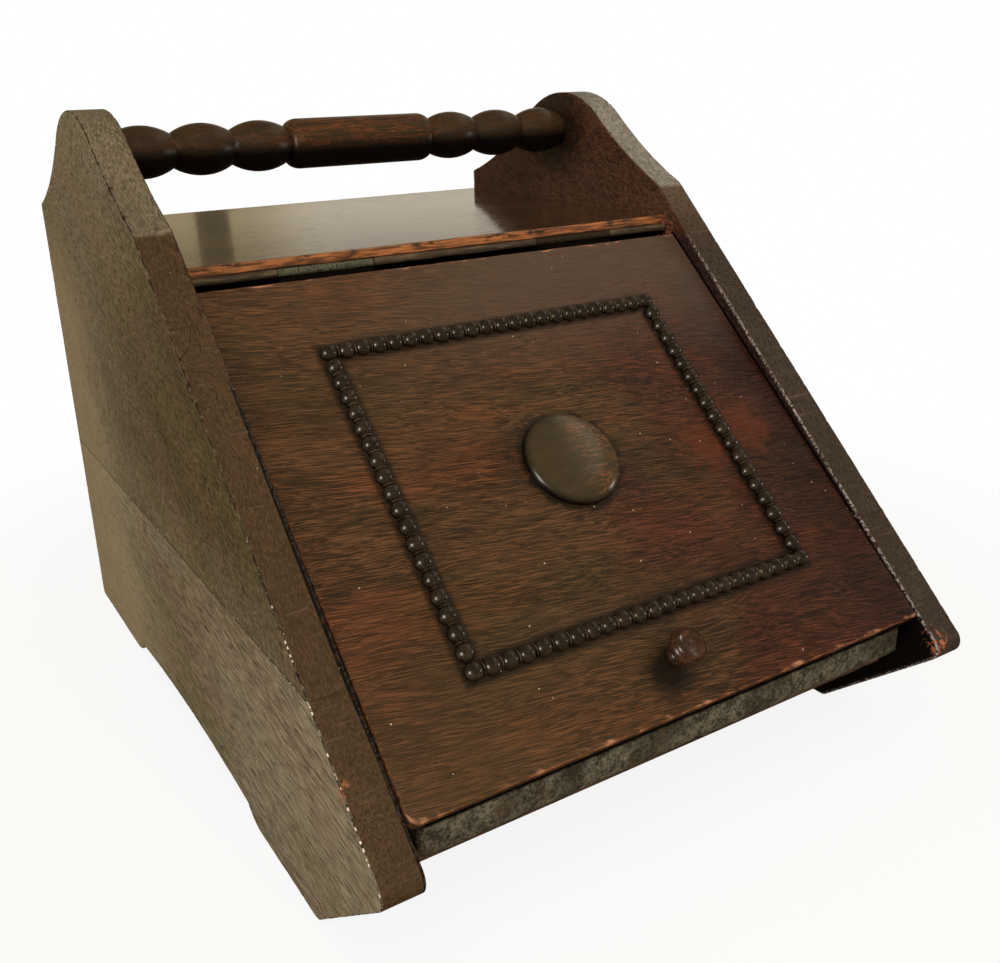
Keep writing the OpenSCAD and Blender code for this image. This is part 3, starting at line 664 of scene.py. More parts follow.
class Finish(Nodes):
    """One material, with the places and patterns that lie on its pieces."""

    def __init__(self, name):
        self.material = bpy.data.materials.new(name)
        self.material.use_nodes = True
        super().__init__(self.material.node_tree)
        self.coords = self.add("TexCoord", out="Object")

    def where(self, scale, turn=(0, 0, 0), shift=(0, 0, 0), start=None):
        """The place on the piece in features per metre, along X, Y and Z."""
        return self.add("Mapping", {"Vector": start or self.coords, "Location": shift,
                                    "Rotation": np.radians(turn), "Scale": scale})

    def even(self, scale, shift=(0, 0, 0)):
        """The place on the piece, in as many features per metre every way."""
        return self.where((scale, scale, scale), shift=shift)

    def lay_grain(self, turn, swirl=0.004, shift=(0, 0, 0)):
        """The place in the wood. The turn brings the run of the grain along X and the
        board's face into XY, and slow noise bends the lines."""
        plain = self.where((1, 1, 1), turn, shift)
        slow = self.where((8, 17, 17), start=plain)
        bend = self.add("TexNoise", {"Vector": slow, "Scale": 1.0, "Detail": 3.0}, "Color")
        bend = self.add("VectorMath", {0: bend, 1: (0.5, 0.5, 0.5)}, operation="SUBTRACT")
        bend = self.add("VectorMath", {0: bend, 1: (0, 2 * swirl, 2 * swirl)},
                        operation="MULTIPLY")
        self.lines = self.add("VectorMath", {0: plain, 1: bend}, operation="ADD")

    def along(self, run, across, shift=(0, 0, 0)):
        """The place in the grain, in features per metre along it and across it."""
        return self.where((run, across, across), shift=shift, start=self.lines)

    def dashes(self, run, across, wide, many):
        """Dark dashes along the grain: some cells of a loose grid on the board's face have
        one at their middle."""
        place = {"Vector": self.along(run, across), "Scale": 1.0, "Randomness": 1.0}
        near = self.add("TexVoronoi", place, "Distance", voronoi_dimensions="2D")
        chosen = self.step(near.node.outputs["Color"], 1.0 - many, 1.04 - many)
        return self.times(self.fall(near, 0.6 * wide, wide), chosen)

    def hairs(self, run, across, thick):
        """Thin lines in the grain, where slow noise crosses its middle."""
        slow = self.noise(self.along(run, across), 3, 0.6)
        return self.fall(self.size(self.minus(slow, 0.5)), 0.15 * thick, thick)

    def height(self, direction):
        """How far along a direction the place is, in metres."""
        return self.add("VectorMath", {0: self.coords, 1: direction}, "Value",
                        operation="DOT_PRODUCT")

    def far(self, place, ragged=0.0):
        """The distance from a place in metres, made uneven by noise."""
        gap = self.add("VectorMath", {0: self.coords, 1: place}, "Value", operation="DISTANCE")
        if not ragged:
            return gap
        rough = self.noise(self.even(170), 4, 0.6)
        return self.plus(gap, self.step(rough, 0.25, 0.75, -ragged, ragged))

    def noise(self, where, detail=3.0, rough=0.55, twist=0.0):
        """Soft clouds about 0.5, one or so a feature."""
        return self.add("TexNoise", {"Vector": where, "Scale": 1.0, "Detail": detail,
                                     "Roughness": rough, "Distortion": twist})

    def cells(self, where, out="Distance", feature="F1"):
        """Uneven cells, one a feature: the distance from their middle, or their colour."""
        return self.add("TexVoronoi", {"Vector": where, "Scale": 1.0, "Randomness": 1.0},
                        out, feature=feature)

    def mark(self, name):
        """A number kept at the mesh's points."""
        return self.add("Attribute", out="Fac", attribute_name=name)

    def relief(self, height, depth_mm):
        """A bump of a given depth."""
        return self.add("Bump", {"Height": height, "Distance": depth_mm * MM, "Strength": 1.0})

    def finish(self, **sockets):
        """The shader, with its sockets by name, and the material."""
        names = {"colour": "Base Color", "rough": "Roughness", "metal": "Metallic",
                 "gloss": "Specular IOR Level", "coat": "Coat Weight",
                 "coat_rough": "Coat Roughness", "normal": "Normal"}
        shader = self.add("BsdfPrincipled", {names[k]: v for k, v in sockets.items()})
        self.add("OutputMaterial", {"Surface": shader})
        return self.material


def rgb(red, green, blue):
    """A colour with full alpha."""
    return (red, green, blue, 1.0)


BLACK = rgb(0.005, 0.004, 0.003)
ACROSS, BACK, UP = (1, 0, 0), (0, 1, 0), (0, 0, 1)

# How the grain of a board is drawn, in features per metre along and across it
LID_GRAIN = {"streak": (56, 2300), "hair": (36, 950), "pore": (40, 700, 0.22, 0.45),
             "crack": (16, 150, 0.06, 0.05)}
HIGH_GRAIN = {"streak": (260, 1050), "hair": (60, 520), "pore": (80, 640, 0.24, 0.42),
              "crack": (30, 170, 0.11, 0.13)}
LOW_GRAIN = {"streak": (90, 900), "hair": (30, 460), "pore": (36, 420, 0.17, 0.42),
             "crack": (26, 150, 0.10, 0.16)}
PLAIN_GRAIN = {"streak": (50, 620), "hair": (40, 340), "pore": (30, 400, 0.2, 0.35),
               "crack": (16, 150, 0.06, 0.05)}
LID_TURN = (-LID_DEGREES, 0, 7)


def scratches(f):
    """Fine curved lines at the borders of long uneven cells, here and there."""
    place = f.where((26, 60, 60), (24, 12, 31))
    line = f.fall(f.cells(place, feature="DISTANCE_TO_EDGE"), 0.0, 0.012)
    return f.times(line, f.step(f.noise(f.even(30), 2), 0.56, 0.64))


def dust_specks(f, colour, share):
    """Small pale specks in a few cells."""
    place = f.even(190)
    lone = f.step(f.cells(place, out="Color"), 0.74, 0.78)
    speck = f.times(f.fall(f.cells(place), 0.05, 0.1), lone)
    return f.mix(f.times(speck, share), colour, rgb(0.5, 0.44, 0.36))


def rubbed_arris(f, colour, worn, raw, rub):
    """Worn colour in patches along the arrises, and raw wood in their nicks."""
    crumb = f.noise(f.along(90, 420), 3, 0.6)
    patch = f.step(f.noise(f.even(22), 3), 0.4, 0.6, 0.25, 1.0)
    share = f.plus(f.mark("wear"), f.step(crumb, 0.3, 0.7, -0.4, 0.2))
    colour = f.mix(f.times(f.step(share, 0.45, 0.85), patch, rub), colour, worn)
    bare = f.times(f.mark("bare"), f.step(crumb, 0.42, 0.56), 0.9)
    return f.mix(bare, colour, raw)


def oak(name, turn, tones, worn, raw, grain=PLAIN_GRAIN, rough=(0.32, 0.46), gloss=0.4,
        coat=0.0, streaks=0.6, hairs=0.5, pores=0.7, relief=0.1, rub=0.7, dust=0.0,
        swirl=0.004, shift=(0, 0, 0), paint=None, stain=None, last=None):
    """Stained oak whose grain lies as turned: slow clouds, fine streaks, dark hair lines,
    open pores and cracks, scratches, rubbed arrises and, where dust is above 0, pale specks.
    paint sets the three tones by place, with any painted sheen in them, stain lays stains and
    any painted light and shade on the wood before its arrises are rubbed, and last works on the
    whole."""
    f = Finish(name)
    f.lay_grain(turn, swirl, shift)
    dark, body, light = paint(f, tones) if paint else tones
    cloud = f.noise(f.along(7, 26), 4, 0.6, 0.4)
    streak = f.noise(f.along(*grain["streak"]), 2, 0.6)
    colour = f.mix(f.step(cloud, 0.38, 0.62), dark, body)
    colour = f.mix(f.times(f.step(streak, 0.5, 0.6), streaks), colour, light)
    colour = f.mix(f.times(f.fall(streak, 0.4, 0.49), streaks), colour, dark)
    hair = f.times(f.hairs(*grain["hair"], 0.035), f.step(cloud, 0.35, 0.6, 0.4, 1.0),
                   f.step(streak, 0.44, 0.56, 1.0, 0.2))
    colour = f.mix(f.times(hair, hairs), colour, BLACK)
    few = f.step(f.noise(f.even(22), 2), 0.38, 0.6, 0.3, 1.0)
    deep = f.most(f.times(f.dashes(*grain["pore"]), few), f.dashes(*grain["crack"]))
    deep = f.times(deep, broad(f) if paint else 1.0)
    colour = f.mix(f.times(deep, pores), colour, BLACK)
    scratch = scratches(f)
    colour = f.mix(f.times(scratch, 0.6 * pores), colour, BLACK)
    if stain:
        colour = stain(f, colour)
    colour = rubbed_arris(f, colour, worn, raw, rub)
    if last:
        colour = last(f, colour)
    if dust:
        colour = dust_specks(f, colour, dust)
    height = f.minus(f.minus(streak, f.times(hair, 0.6)), f.plus(deep, scratch))
    gleam = f.step(f.noise(f.even(34), 4, 0.6), 0.3, 0.7, *rough)
    dull = f.most(f.times(deep, 0.25), f.times(f.step(f.mark("wear"), 0.3, 0.8), 0.3))
    return f.finish(colour=colour, rough=f.plus(gleam, dull), normal=f.relief(height, relief),
                    gloss=gloss, coat=coat, coat_rough=0.15)


def turned_oak(name, dark, light, streaks, rough, gloss=0.4, coat=0.0, blotch=0.3,
               worn=rgb(0.17, 0.11, 0.065), painted_shade_below=(-1.0, -0.9), out=UP,
               plain_from=None, plain_till=None):
    """Ebonised wood of the turned pieces: near black, with rubbed brown grain along an axis,
    brown blotches that vary from piece to piece, and rubbed rims. Low along the direction
    out it is painted near black, as painted shade on its underside. Along X the grain
    shows fully between plain_till, two places and the share of it before them, and
    plain_from, two places past which a third of it is left."""
    f = Finish(name)
    f.lay_grain((0, 0, 0), swirl=0.002)
    streak = f.noise(f.along(60, 1500), 4, 0.66)
    band = f.noise(f.along(26, 260), 3, 0.6)
    cloud = f.noise(f.even(330), 4, 0.62)
    share = f.most(f.times(f.step(streak, 0.44, 0.62, 0, 0.6), f.step(band, 0.34, 0.6, 0.25, 1.0)),
                   f.times(f.hairs(48, 420, 0.05), f.step(band, 0.4, 0.55)))
    if plain_till:
        share = f.times(share, f.step(f.height(ACROSS), *plain_till, 1.0))
    if plain_from:
        share = f.times(share, f.step(f.height(ACROSS), *plain_from, 1.0, 0.35))
    colour = f.mix(f.times(share, streaks), dark, light)
    tone = f.step(f.mark("tone"), 0.0, 1.0, 0.35 * blotch, blotch)
    colour = f.mix(f.times(f.step(cloud, 0.44, 0.66), tone), colour, light)
    rim = f.times(f.mark("wear"), f.step(cloud, 0.36, 0.6, 0.25, 0.95))
    colour = f.mix(rim, colour, worn)
    # Painted shade: near black low along the direction out
    colour = f.mix(f.fall(f.height(out), *painted_shade_below), colour, rgb(0.003, 0.002, 0.002))
    gleam = f.step(f.noise(f.even(400), 3, 0.6), 0.3, 0.7, *rough)
    return f.finish(colour=colour, rough=gleam, normal=f.relief(streak, 0.05), gloss=gloss,
                    coat=coat, coat_rough=0.1)


def old_brass():
    """Brass gone brown, pale green on the left knuckle, and painted near black as painted shade
    away from the knuckles.
    """
    f = Finish("old brass")
    cloud = f.noise(f.where((120, 260, 260)), 5, 0.65)
    green = f.plus(f.step(f.height(ACROSS), 0.0, 0.05, 0.2, -0.3), cloud)
    colour = f.mix(f.step(green, 0.45, 0.7), rgb(0.055, 0.038, 0.022), rgb(0.17, 0.175, 0.12))
    speck = f.step(f.noise(f.even(900), 3), 0.54, 0.64)
    colour = f.mix(f.times(speck, 0.85), colour, rgb(0.015, 0.012, 0.008))
    # Painted shade: from a little off the pin's axis on, the leaves are painted near black
    from_pin = f.add("VectorMath", {0: f.where((0, 1, 1)), 1: (0, AXIS_Y * MM, AXIS_Z * MM)},
                     "Value", operation="DISTANCE")
    painted_leaf_shade = f.step(from_pin, 0.0019, 0.0023)
    colour = f.mix(painted_leaf_shade, colour, rgb(0.003, 0.002, 0.002))
    rough = f.most(f.step(cloud, 0.3, 0.7, 0.35, 0.6), painted_leaf_shade)
    return f.finish(colour=colour, metal=0.1, gloss=0.08, rough=rough,
                    normal=f.relief(speck, 0.05))


def old_steel():
    """Brown steel of the screws and nails."""
    f = Finish("old steel")
    rust = f.noise(f.even(500), 4, 0.6)
    colour = f.mix(f.step(rust, 0.4, 0.65), rgb(0.16, 0.15, 0.14), rgb(0.07, 0.03, 0.015))
    return f.finish(colour=colour, metal=0.8, rough=f.step(rust, 0.3, 0.7, 0.4, 0.8),
                    normal=f.relief(rust, 0.06))


def galvanised():
    """Mottled zinc on sheet metal, with rust and soot."""
    f = Finish("galvanised sheet")
    mottle, fine = f.noise(f.even(130), 6, 0.74, 0.4), f.noise(f.even(620), 4, 0.7)
    both = f.plus(f.times(mottle, 0.5), f.times(fine, 0.5))
    colour = f.mix(f.step(both, 0.42, 0.6), rgb(0.030, 0.027, 0.020), rgb(0.17, 0.16, 0.125))
    soot = f.step(f.noise(f.even(38), 4), 0.42, 0.62)
    colour = f.mix(f.times(soot, 0.6), colour, rgb(0.020, 0.016, 0.011))
    rust = f.step(f.noise(f.even(75, (3, 1, 2)), 4), 0.54, 0.66)
    colour = f.mix(f.times(rust, 0.5), colour, rgb(0.075, 0.045, 0.022))
    return f.finish(colour=colour, metal=0.25, rough=f.step(both, 0.35, 0.65, 0.6, 0.42),
                    normal=f.relief(both, 0.2))


# ---- Dressing ----

def dress(piece, material, body, slot, *nodes):
    """Gives a new piece its finish and body, and lets it stand for its CAD nodes."""
    piece.data.materials.append(material)
    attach(piece, body)
    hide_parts(*nodes)


def repaint(material, *nodes):
    """Gives CAD nodes that stay their finish."""
    for node in nodes:
        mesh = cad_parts[node].data
        mesh.materials.clear()
        mesh.materials.append(material)


# The outer faces' tones are the oak's olive colour with painted sheen in them.
OUTSIDE = (rgb(0.110, 0.093, 0.068), rgb(0.162, 0.140, 0.101), rgb(0.252, 0.223, 0.171))
OUTSIDE_LOW = (rgb(0.146, 0.124, 0.094), rgb(0.216, 0.188, 0.146), rgb(0.324, 0.293, 0.243))
EDGES = (rgb(0.050, 0.029, 0.015), rgb(0.065, 0.038, 0.020), rgb(0.078, 0.049, 0.026))
# The ears' edges are paler than the other edges, partly as painted highlight where they catch the
# light.
EARS = (rgb(0.110, 0.088, 0.060), rgb(0.148, 0.120, 0.082), rgb(0.200, 0.164, 0.115))
INSIDE = (rgb(0.042, 0.019, 0.013), rgb(0.080, 0.036, 0.023), rgb(0.120, 0.053, 0.031))
TOP_FACE = (rgb(0.018, 0.010, 0.006), rgb(0.058, 0.027, 0.015), rgb(0.120, 0.052, 0.024))


# Distances from the middle at which a cheek's outer and inner faces meet its edge
OUTER_FACE = (0.1790, 0.1796)
INNER_FACE = (0.1598, 0.1606)


def from_middle(f):
    """The distance to the left or right of the object's middle."""
    return f.size(f.height(ACROSS))


def outer_face(f):
    """1 on a cheek's outer face."""
    return f.step(from_middle(f), *OUTER_FACE)


def inner_face(f):
    """1 on a cheek's inner face."""
    return f.fall(from_middle(f), *INNER_FACE)


def edge_face(f):
    """1 on a cheek's edge, between its arrises."""
    across = from_middle(f)
    return f.times(f.step(across, 0.1606, 0.1612), f.fall(across, 0.1785, 0.1792))


def broad(f):
    """1 on a cheek's broad faces and little on its edges."""
    across = from_middle(f)
    return f.most(f.step(across, *OUTER_FACE, 0.15, 1.0),
                  f.step(across, *INNER_FACE, 1.0, 0.15))


def cheek_tones(f, tones):
    """Four sets of tones on one cheek: outside, round the ear's edge, on the other edges
    and inside."""
    outer, inner = outer_face(f), inner_face(f)
    ear = f.step(f.height(UP), 0.2925, 0.2952)
    return [f.mix(inner, f.mix(outer, f.mix(ear, edge, round_ear), face), inside)
            for face, edge, round_ear, inside in zip(tones, EDGES, EARS, INSIDE)]


def cheek_clouds(f, colour):
    """Reddish and olive clouds, most on the outer face."""
    red = f.step(f.noise(f.along(9, 22), 3, 0.55), 0.42, 0.62)
    olive = f.step(f.noise(f.along(8, 19), 3, 0.5, 1.0), 0.46, 0.62)
    faces = f.plus(f.times(outer_face(f), 0.65), 0.15)
    colour = f.tint(f.times(red, faces), colour, rgb(1.08, 0.94, 0.95))
    return f.tint(f.times(olive, faces), colour, rgb(0.92, 1.00, 0.82))


def socket_shadow(f, colour):
    """Painted shade round the handle's end in the right ear."""
    gap = f.far((0.1595, HANDLE_Y * MM, HANDLE_Z * MM), 0.006)
    share = f.times(f.fall(gap, 0.017, 0.042, 0.75), f.step(f.height(ACROSS), 0.158, 0.1595))
    return f.mix(share, colour, BLACK)


def cheek_light(f, colour):
    """The outside of a cheek, with painted sheen and painted shade: grey and pale in a broad band
    down the back edge as painted sheen, dark towards the middle of the front as painted shade,
    and a little paler again at the foot of the upper board. The left cheek's lower board is a
    little darker round its middle."""
    outer, forward, up = outer_face(f), f.height(BACK), f.height(UP)
    loose = f.step(f.noise(f.along(9, 22), 3), 0.3, 0.7, -0.02, 0.02)
    grit = f.step(f.noise(f.along(300, 900), 2), 0.4, 0.6, 0.45, 1.0)
    # Painted sheen: a pale band down the back edge
    back = f.plus(f.plus(forward, loose), f.times(up, -0.45))
    back = f.times(f.step(back, 0.0, 0.14), f.step(up, 0.22, 0.31, 0.8, 0.12), grit, outer)
    colour = f.mix(back, colour, rgb(0.33, 0.275, 0.19))
    # Painted shade: darker towards the front
    shade = f.times(f.fall(f.plus(forward, loose), -0.03, 0.16),
                    f.step(up, 0.124, 0.175, 0.35, 1.0), f.fall(up, 0.25, 0.31),
                    f.step(up, 0.1235, 0.1245), outer)
    colour = f.tint(shade, colour, rgb(0.60, 0.52, 0.42))
    middle = f.times(f.fall(f.far((-0.18, 0.02, 0.06)), 0.03, 0.12),
                     f.fall(up, 0.1235, 0.1245), outer)
    return f.tint(middle, colour, rgb(0.84, 0.82, 0.78))


def cheek_seam_and_painted_shade(f, colour):
    """Black in the seam between a cheek's boards, and painted shade: black on its inner face below
    the lid, and on the left cheek's inner arris beside the lid, where the gap lies in shadow."""
    side, up = f.height(ACROSS), f.height(UP)
    joint = f.size(f.minus(up, JOINT_Z * MM))
    seam = f.times(f.fall(joint, 0.0002, 0.0006, 0.6), f.step(outer_face(f), 0, 1, 0.4, 1))
    colour = f.mix(seam, colour, BLACK)
    # Painted shade: the inner face below the lid is painted near black
    lid_arris = LID_PLANE - 0.4 * MM
    under = f.times(f.fall(f.height(SLOPE_OUT), lid_arris, lid_arris + 0.0012),
                    f.fall(up, 0.2655, 0.267))
    colour = f.mix(f.times(inner_face(f), under, 0.97), colour, BLACK)
    # Painted shadow: a black line on the left cheek's inner arris beside the lid
    wide = f.times(f.step(up, 0.10, 0.13, -0.1, 0.85), f.step(up, 0.15, 0.235, 1.0, 0.25))
    gap = f.plus(side, f.times(wide, 0.0011))
    gap = f.times(f.step(gap, -0.1614, -0.1609), f.fall(up, 0.226, 0.236),
                  f.fall(side, -0.13, -0.12))
    return f.mix(gap, colour, BLACK)


def right_cheek_tints_and_painted_light(f, colour):
    """The right cheek's edge, greyer down the slope, darker low down and, as painted highlight,
    pale on the ear's crown, and painted shade on its inner face below the top board."""
    side, up = f.height(ACROSS), f.height(UP)
    edge = f.times(edge_face(f), f.step(side, 0.0, 0.1))
    grey = f.times(edge, f.fall(up, 0.25, 0.29))
    colour = f.tint(grey, colour, rgb(0.76, 0.90, 1.34))
    colour = f.tint(f.times(grey, f.fall(up, 0.03, 0.09)), colour, rgb(0.68, 0.74, 0.84))
    # Painted highlight: the ear's crown paler
    crown = f.times(edge, f.step(up, 0.262, 0.295))
    colour = f.tint(crown, colour, rgb(1.45, 1.60, 2.1))
    # Painted shade: darker on the inner face below the top board
    painted_inner_shade = f.times(inner_face(f), f.step(side, 0.15, 0.158), f.fall(up, 0.262, 0.272))
    return f.tint(painted_inner_shade, colour, rgb(0.40, 0.42, 0.62))


def front_edge_scratches_and_painted_highlight(f, colour):
    """Cross scratches on the front edges, and a painted highlight on the inner arrises: a pale
    silvery line, most on the right."""
    line = f.step(f.noise(f.where((26, 300, 300)), 2), 0.67, 0.73)
    colour = f.mix(f.times(line, edge_face(f), 0.2), colour, rgb(0.20, 0.14, 0.10))
    grit = f.noise(f.even(620), 3, 0.6)
    # Painted highlight: a pale silvery line along the inner arrises
    painted_arris_highlight = f.times(f.step(f.mark("wear"), 0.28, 0.6), f.step(grit, 0.42, 0.58),
                     f.fall(from_middle(f), 0.1608, 0.1614),
                     f.step(f.height(ACROSS), -0.1, 0.1, 0.12, 0.9),
                     f.fall(f.height(UP), 0.255, 0.27))
    return f.mix(painted_arris_highlight, colour, rgb(0.36, 0.32, 0.33))


def splinters(f, colour):
    """Raw orange wood at three places on the front arrises."""
    split = f.step(f.noise(f.even(330), 3), 0.5, 0.58)
    for place, reach in (((0.1595, -0.003, 0.269), 0.010), ((0.1595, -0.236, 0.071), 0.013),
                         ((-0.180, -0.205, 0.097), 0.0042)):
        near = f.fall(f.far(place, 0.003), 0.3 * reach, reach)
        colour = f.mix(f.times(near, split), colour, rgb(0.33, 0.105, 0.05))
    return colour


def cheek_stains_and_painted_light(f, colour):
    """All that is painted on a cheek's wood, stains and painted light and shade alike, one layer
    over another.
    """
    for layer in (cheek_clouds, socket_shadow, cheek_light, cheek_seam_and_painted_shade, right_cheek_tints_and_painted_light,
                  front_edge_scratches_and_painted_highlight, splinters):
        colour = layer(f, colour)
    return colour


def cheek_crumbs(f, colour):
    """A thin broken dark line along the outer arrises, and pale crumbs in single cells on
    their lower half."""
    outer = f.times(f.step(from_middle(f), 0.1785, 0.179), f.step(f.mark("wear"), 0.55, 0.85))
    torn = f.step(f.noise(f.even(150), 3), 0.42, 0.52, 0.15, 0.85)
    colour = f.mix(f.times(outer, torn), colour, BLACK)
    place = f.even(420)
    share = f.times(f.fall(f.cells(place), 0.26, 0.4),
                    f.step(f.cells(place, out="Color"), 0.3, 0.5), outer,
                    f.step(f.height(UP), 0.13, 0.19, 1.0, 0.1))
    return f.mix(share, colour, rgb(0.62, 0.52, 0.48))


def top_stain(f, colour):
    """Orange worn wood, streaked, over the upper half of the front edge."""
    streak = f.noise(f.along(50, 700), 4, 0.66)
    orange = f.mix(f.step(streak, 0.4, 0.6), rgb(0.085, 0.034, 0.016), rgb(0.36, 0.13, 0.045))
    ragged = f.plus(f.mark("wear"), f.step(f.noise(f.along(60, 260), 3), 0.3, 0.7, -0.3, 0.1))
    return f.mix(f.step(ragged, 0.42, 0.7), colour, orange)


def lid_clouds(f, colour):
    """Olive and warm clouds, redder and darker towards the right, an olive foot at the left and a
    pale veil of painted reflection over the upper right."""
    across, slope = f.height(ACROSS), f.height(SLOPE_UP)
    olive = f.step(f.noise(f.along(7, 17, (4, 2, 1)), 3, 0.55), 0.44, 0.6, 0, 0.8)
    colour = f.tint(olive, colour, rgb(0.74, 0.88, 0.84))
    warm = f.step(f.noise(f.along(9, 30, (1, 5, 2)), 3, 0.6), 0.5, 0.64, 0, 0.9)
    colour = f.tint(warm, colour, rgb(1.25, 1.02, 0.86))
    cloud = f.step(f.noise(f.even(10), 3), 0.3, 0.7, -0.4, 0.4)
    red = f.step(f.plus(f.step(across, -0.04, 0.12), cloud), 0.1, 0.9)
    colour = f.tint(red, colour, rgb(0.82, 0.52, 0.62))
    colour = f.tint(f.step(across, 0.1, 0.15), colour, rgb(0.50, 0.54, 0.64))
    foot = f.times(f.fall(slope, -0.10, 0.0, 0.36), f.fall(across, -0.12, 0.02))
    colour = f.mix(foot, colour, rgb(0.064, 0.037, 0.015))
    # Painted reflection: a pale greyish veil over the upper right
    veil = f.times(f.step(slope, 0.060, 0.150),
                   f.step(f.plus(across, f.times(cloud, 0.05)), -0.14, 0.06, 0.1, 0.72))
    return f.mix(veil, colour, rgb(0.082, 0.055, 0.040))


def lid_marks_and_painted_shade(f, colour):
    """Two red glows and a dark stain beside the boss, painted shade in a ring round the boss's
    foot and along the beads, and a dark patch by the knob's foot, a little to its left and below
    it."""
    for place, reach in (((0.0875, -0.1235, 0.1674), 0.022), ((0.1226, -0.1191, 0.1713), 0.024)):
        glow = f.fall(f.far(place, 0.008), 0.1 * reach, reach, 0.6)
        colour = f.mix(glow, colour, rgb(0.100, 0.020, 0.006))
    beside = (-0.0259, -0.1059, 0.1828)
    boss = (on_lid([0, MOULDING_UP, LID_FACE]) * MM).tolist()
    knob = (on_lid([-8, -270, LID_FACE]) * MM).tolist()
    # Painted shade in the ring round the boss's foot, beside a dark stain and a dark patch by the
    # knob
    for place, ragged, near, gone, share in ((beside, 0.006, 0.004, 0.022, 0.45),
                                             (boss, 0.002, 0.0285, 0.0325, 0.75),
                                             (knob, 0.002, 0.005, 0.019, 0.88)):
        colour = f.mix(f.fall(f.far(place, ragged), near, gone, share), colour, BLACK)
    # Painted shade along the beads: darker within a few millimetres of the strips
    middle = float(SLOPE_UP[2] * AXIS_Z * MM + MOULDING_UP * MM)
    over = f.minus(f.size(f.minus(f.height(SLOPE_UP), middle)), MOULDING_H / 2 * MM)
    aside = f.minus(from_middle(f), MOULDING_W / 2 * MM)
    strip = f.size(f.most(over, aside))
    return f.mix(f.fall(strip, 0.0046, 0.0082, 0.72), colour, BLACK)


def lid_stains_and_painted_light(f, colour):
    """The lid's clouds, and on its outer face alone the marks, with painted reflection and painted
    shade among them.
    """
    colour = lid_clouds(f, colour)
    outer = f.step(f.height(SLOPE_OUT), LID_PLANE - 0.005, LID_PLANE - 0.003)
    return f.mix(outer, colour, lid_marks_and_painted_shade(f, colour))


def dress_case():
    """Cheeks, boards, pellets and beads of the box."""
    bruised = rgb(0.014, 0.009, 0.006)
    levels = {
        "upper": {"turn": (-118, -90, 0), "tones": OUTSIDE, "grain": HIGH_GRAIN,
                  "streaks": 0.72, "swirl": 0.012},
        "lower": {"turn": (-96, -90, 0), "tones": OUTSIDE_LOW, "grain": LOW_GRAIN,
                  "streaks": 0.6, "swirl": 0.004}}
    for k, (piece, node) in enumerate(make_cheeks()):
        wood = oak(node.replace("_", " "), worn=bruised, raw=rgb(0.040, 0.014, 0.009),
                   gloss=0.16, hairs=0.6, pores=0.85, relief=0.2, rub=0.5, dust=0.4,
                   shift=(0.7 * k, 3.1 * k, 0), paint=cheek_tones, stain=cheek_stains_and_painted_light,
                   last=cheek_crumbs, **levels["upper" if "upper" in node else "lower"])
        dress(piece, wood, "box", "case_wood", node)
    flat = (0, 0, 0)
    top = oak("top board oak", flat, TOP_FACE, bruised, bruised, rough=(0.03, 0.05), gloss=0.5,
              coat=0.25, relief=0.03, rub=0.0, stain=top_stain)
    dress(make_top_board(), top, "box", "case_wood", "top_board")
    bead_tones = (rgb(0.04, 0.028, 0.018), rgb(0.075, 0.052, 0.034), rgb(0.12, 0.085, 0.055))
    bead = oak("hinge bead oak", flat, bead_tones, bruised, bruised, relief=0.03)
    for piece, node in make_hinge_beads():
        dress(piece, bead, "box", "case_wood", node)
    back_tones = (rgb(0.070, 0.049, 0.032), rgb(0.105, 0.076, 0.050), rgb(0.150, 0.112, 0.076))
    back = oak("back board oak", (-90, 0, 0), back_tones, bruised, bruised,
               rough=(0.5, 0.7), relief=0.12)
    for piece, node in make_back_boards():
        dress(piece, back, "box", "case_wood", node)
    pellet = oak("pellet oak", (-90, -90, 0), OUTSIDE_LOW, bruised, bruised)
    dress(make_pellets(), pellet, "box", "case_wood", "cheek_pellets")
    for name, turn, nodes in (("inner oak", flat, ("floor_board", "front_rail")),
                              ("stop oak", (0, 0, -90), ("left_lid_stop", "right_lid_stop"))):
        repaint(oak(name, turn, INSIDE, bruised, bruised, rough=(0.55, 0.75)), *nodes)


def dress_lid():
    """The lid and what is fixed to it."""
    tones = (rgb(0.029, 0.015, 0.007), rgb(0.064, 0.031, 0.013), rgb(0.160, 0.066, 0.026))
    wood = oak("lid oak", LID_TURN, tones, rgb(0.26, 0.085, 0.035), rgb(0.36, 0.17, 0.10),
               LID_GRAIN, rough=(0.34, 0.46), gloss=0.35, streaks=0.68, hairs=0.6, pores=0.6,
               relief=0.08, rub=0.6, dust=0.85, swirl=0.006, stain=lid_stains_and_painted_light)
    dress(make_lid(), wood, "lid", "lid_wood", "lid")
    black = turned_oak("ebonised beads", rgb(0.009, 0.007, 0.005), rgb(0.062, 0.040, 0.022), 0.30,
                       rough=(0.12, 0.22), gloss=0.5, coat=0.5, blotch=0.35,
                       worn=rgb(0.14, 0.10, 0.065), out=SLOPE_OUT, painted_shade_below=(0.2078, 0.2104))
    for piece, node in make_beading():
        dress(piece, black, "lid", "turned_wood", node)
    boss = turned_oak("boss wood", rgb(0.036, 0.028, 0.016), rgb(0.20, 0.085, 0.034), 0.7,
                      rough=(0.12, 0.2), coat=0.3, blotch=0.12, plain_till=(-0.006, 0.010, 0.12),
                      out=SLOPE_OUT, painted_shade_below=(0.2085, 0.2135))
    dress(make_boss(), boss, "lid", "turned_wood", "lid_boss")
    knob = turned_oak("knob wood", rgb(0.022, 0.012, 0.008), rgb(0.12, 0.045, 0.024), 0.5,
                      rough=(0.12, 0.22), coat=0.4, blotch=0.5)
    dress(make_knob(), knob, "lid", "turned_wood", "lid_knob")


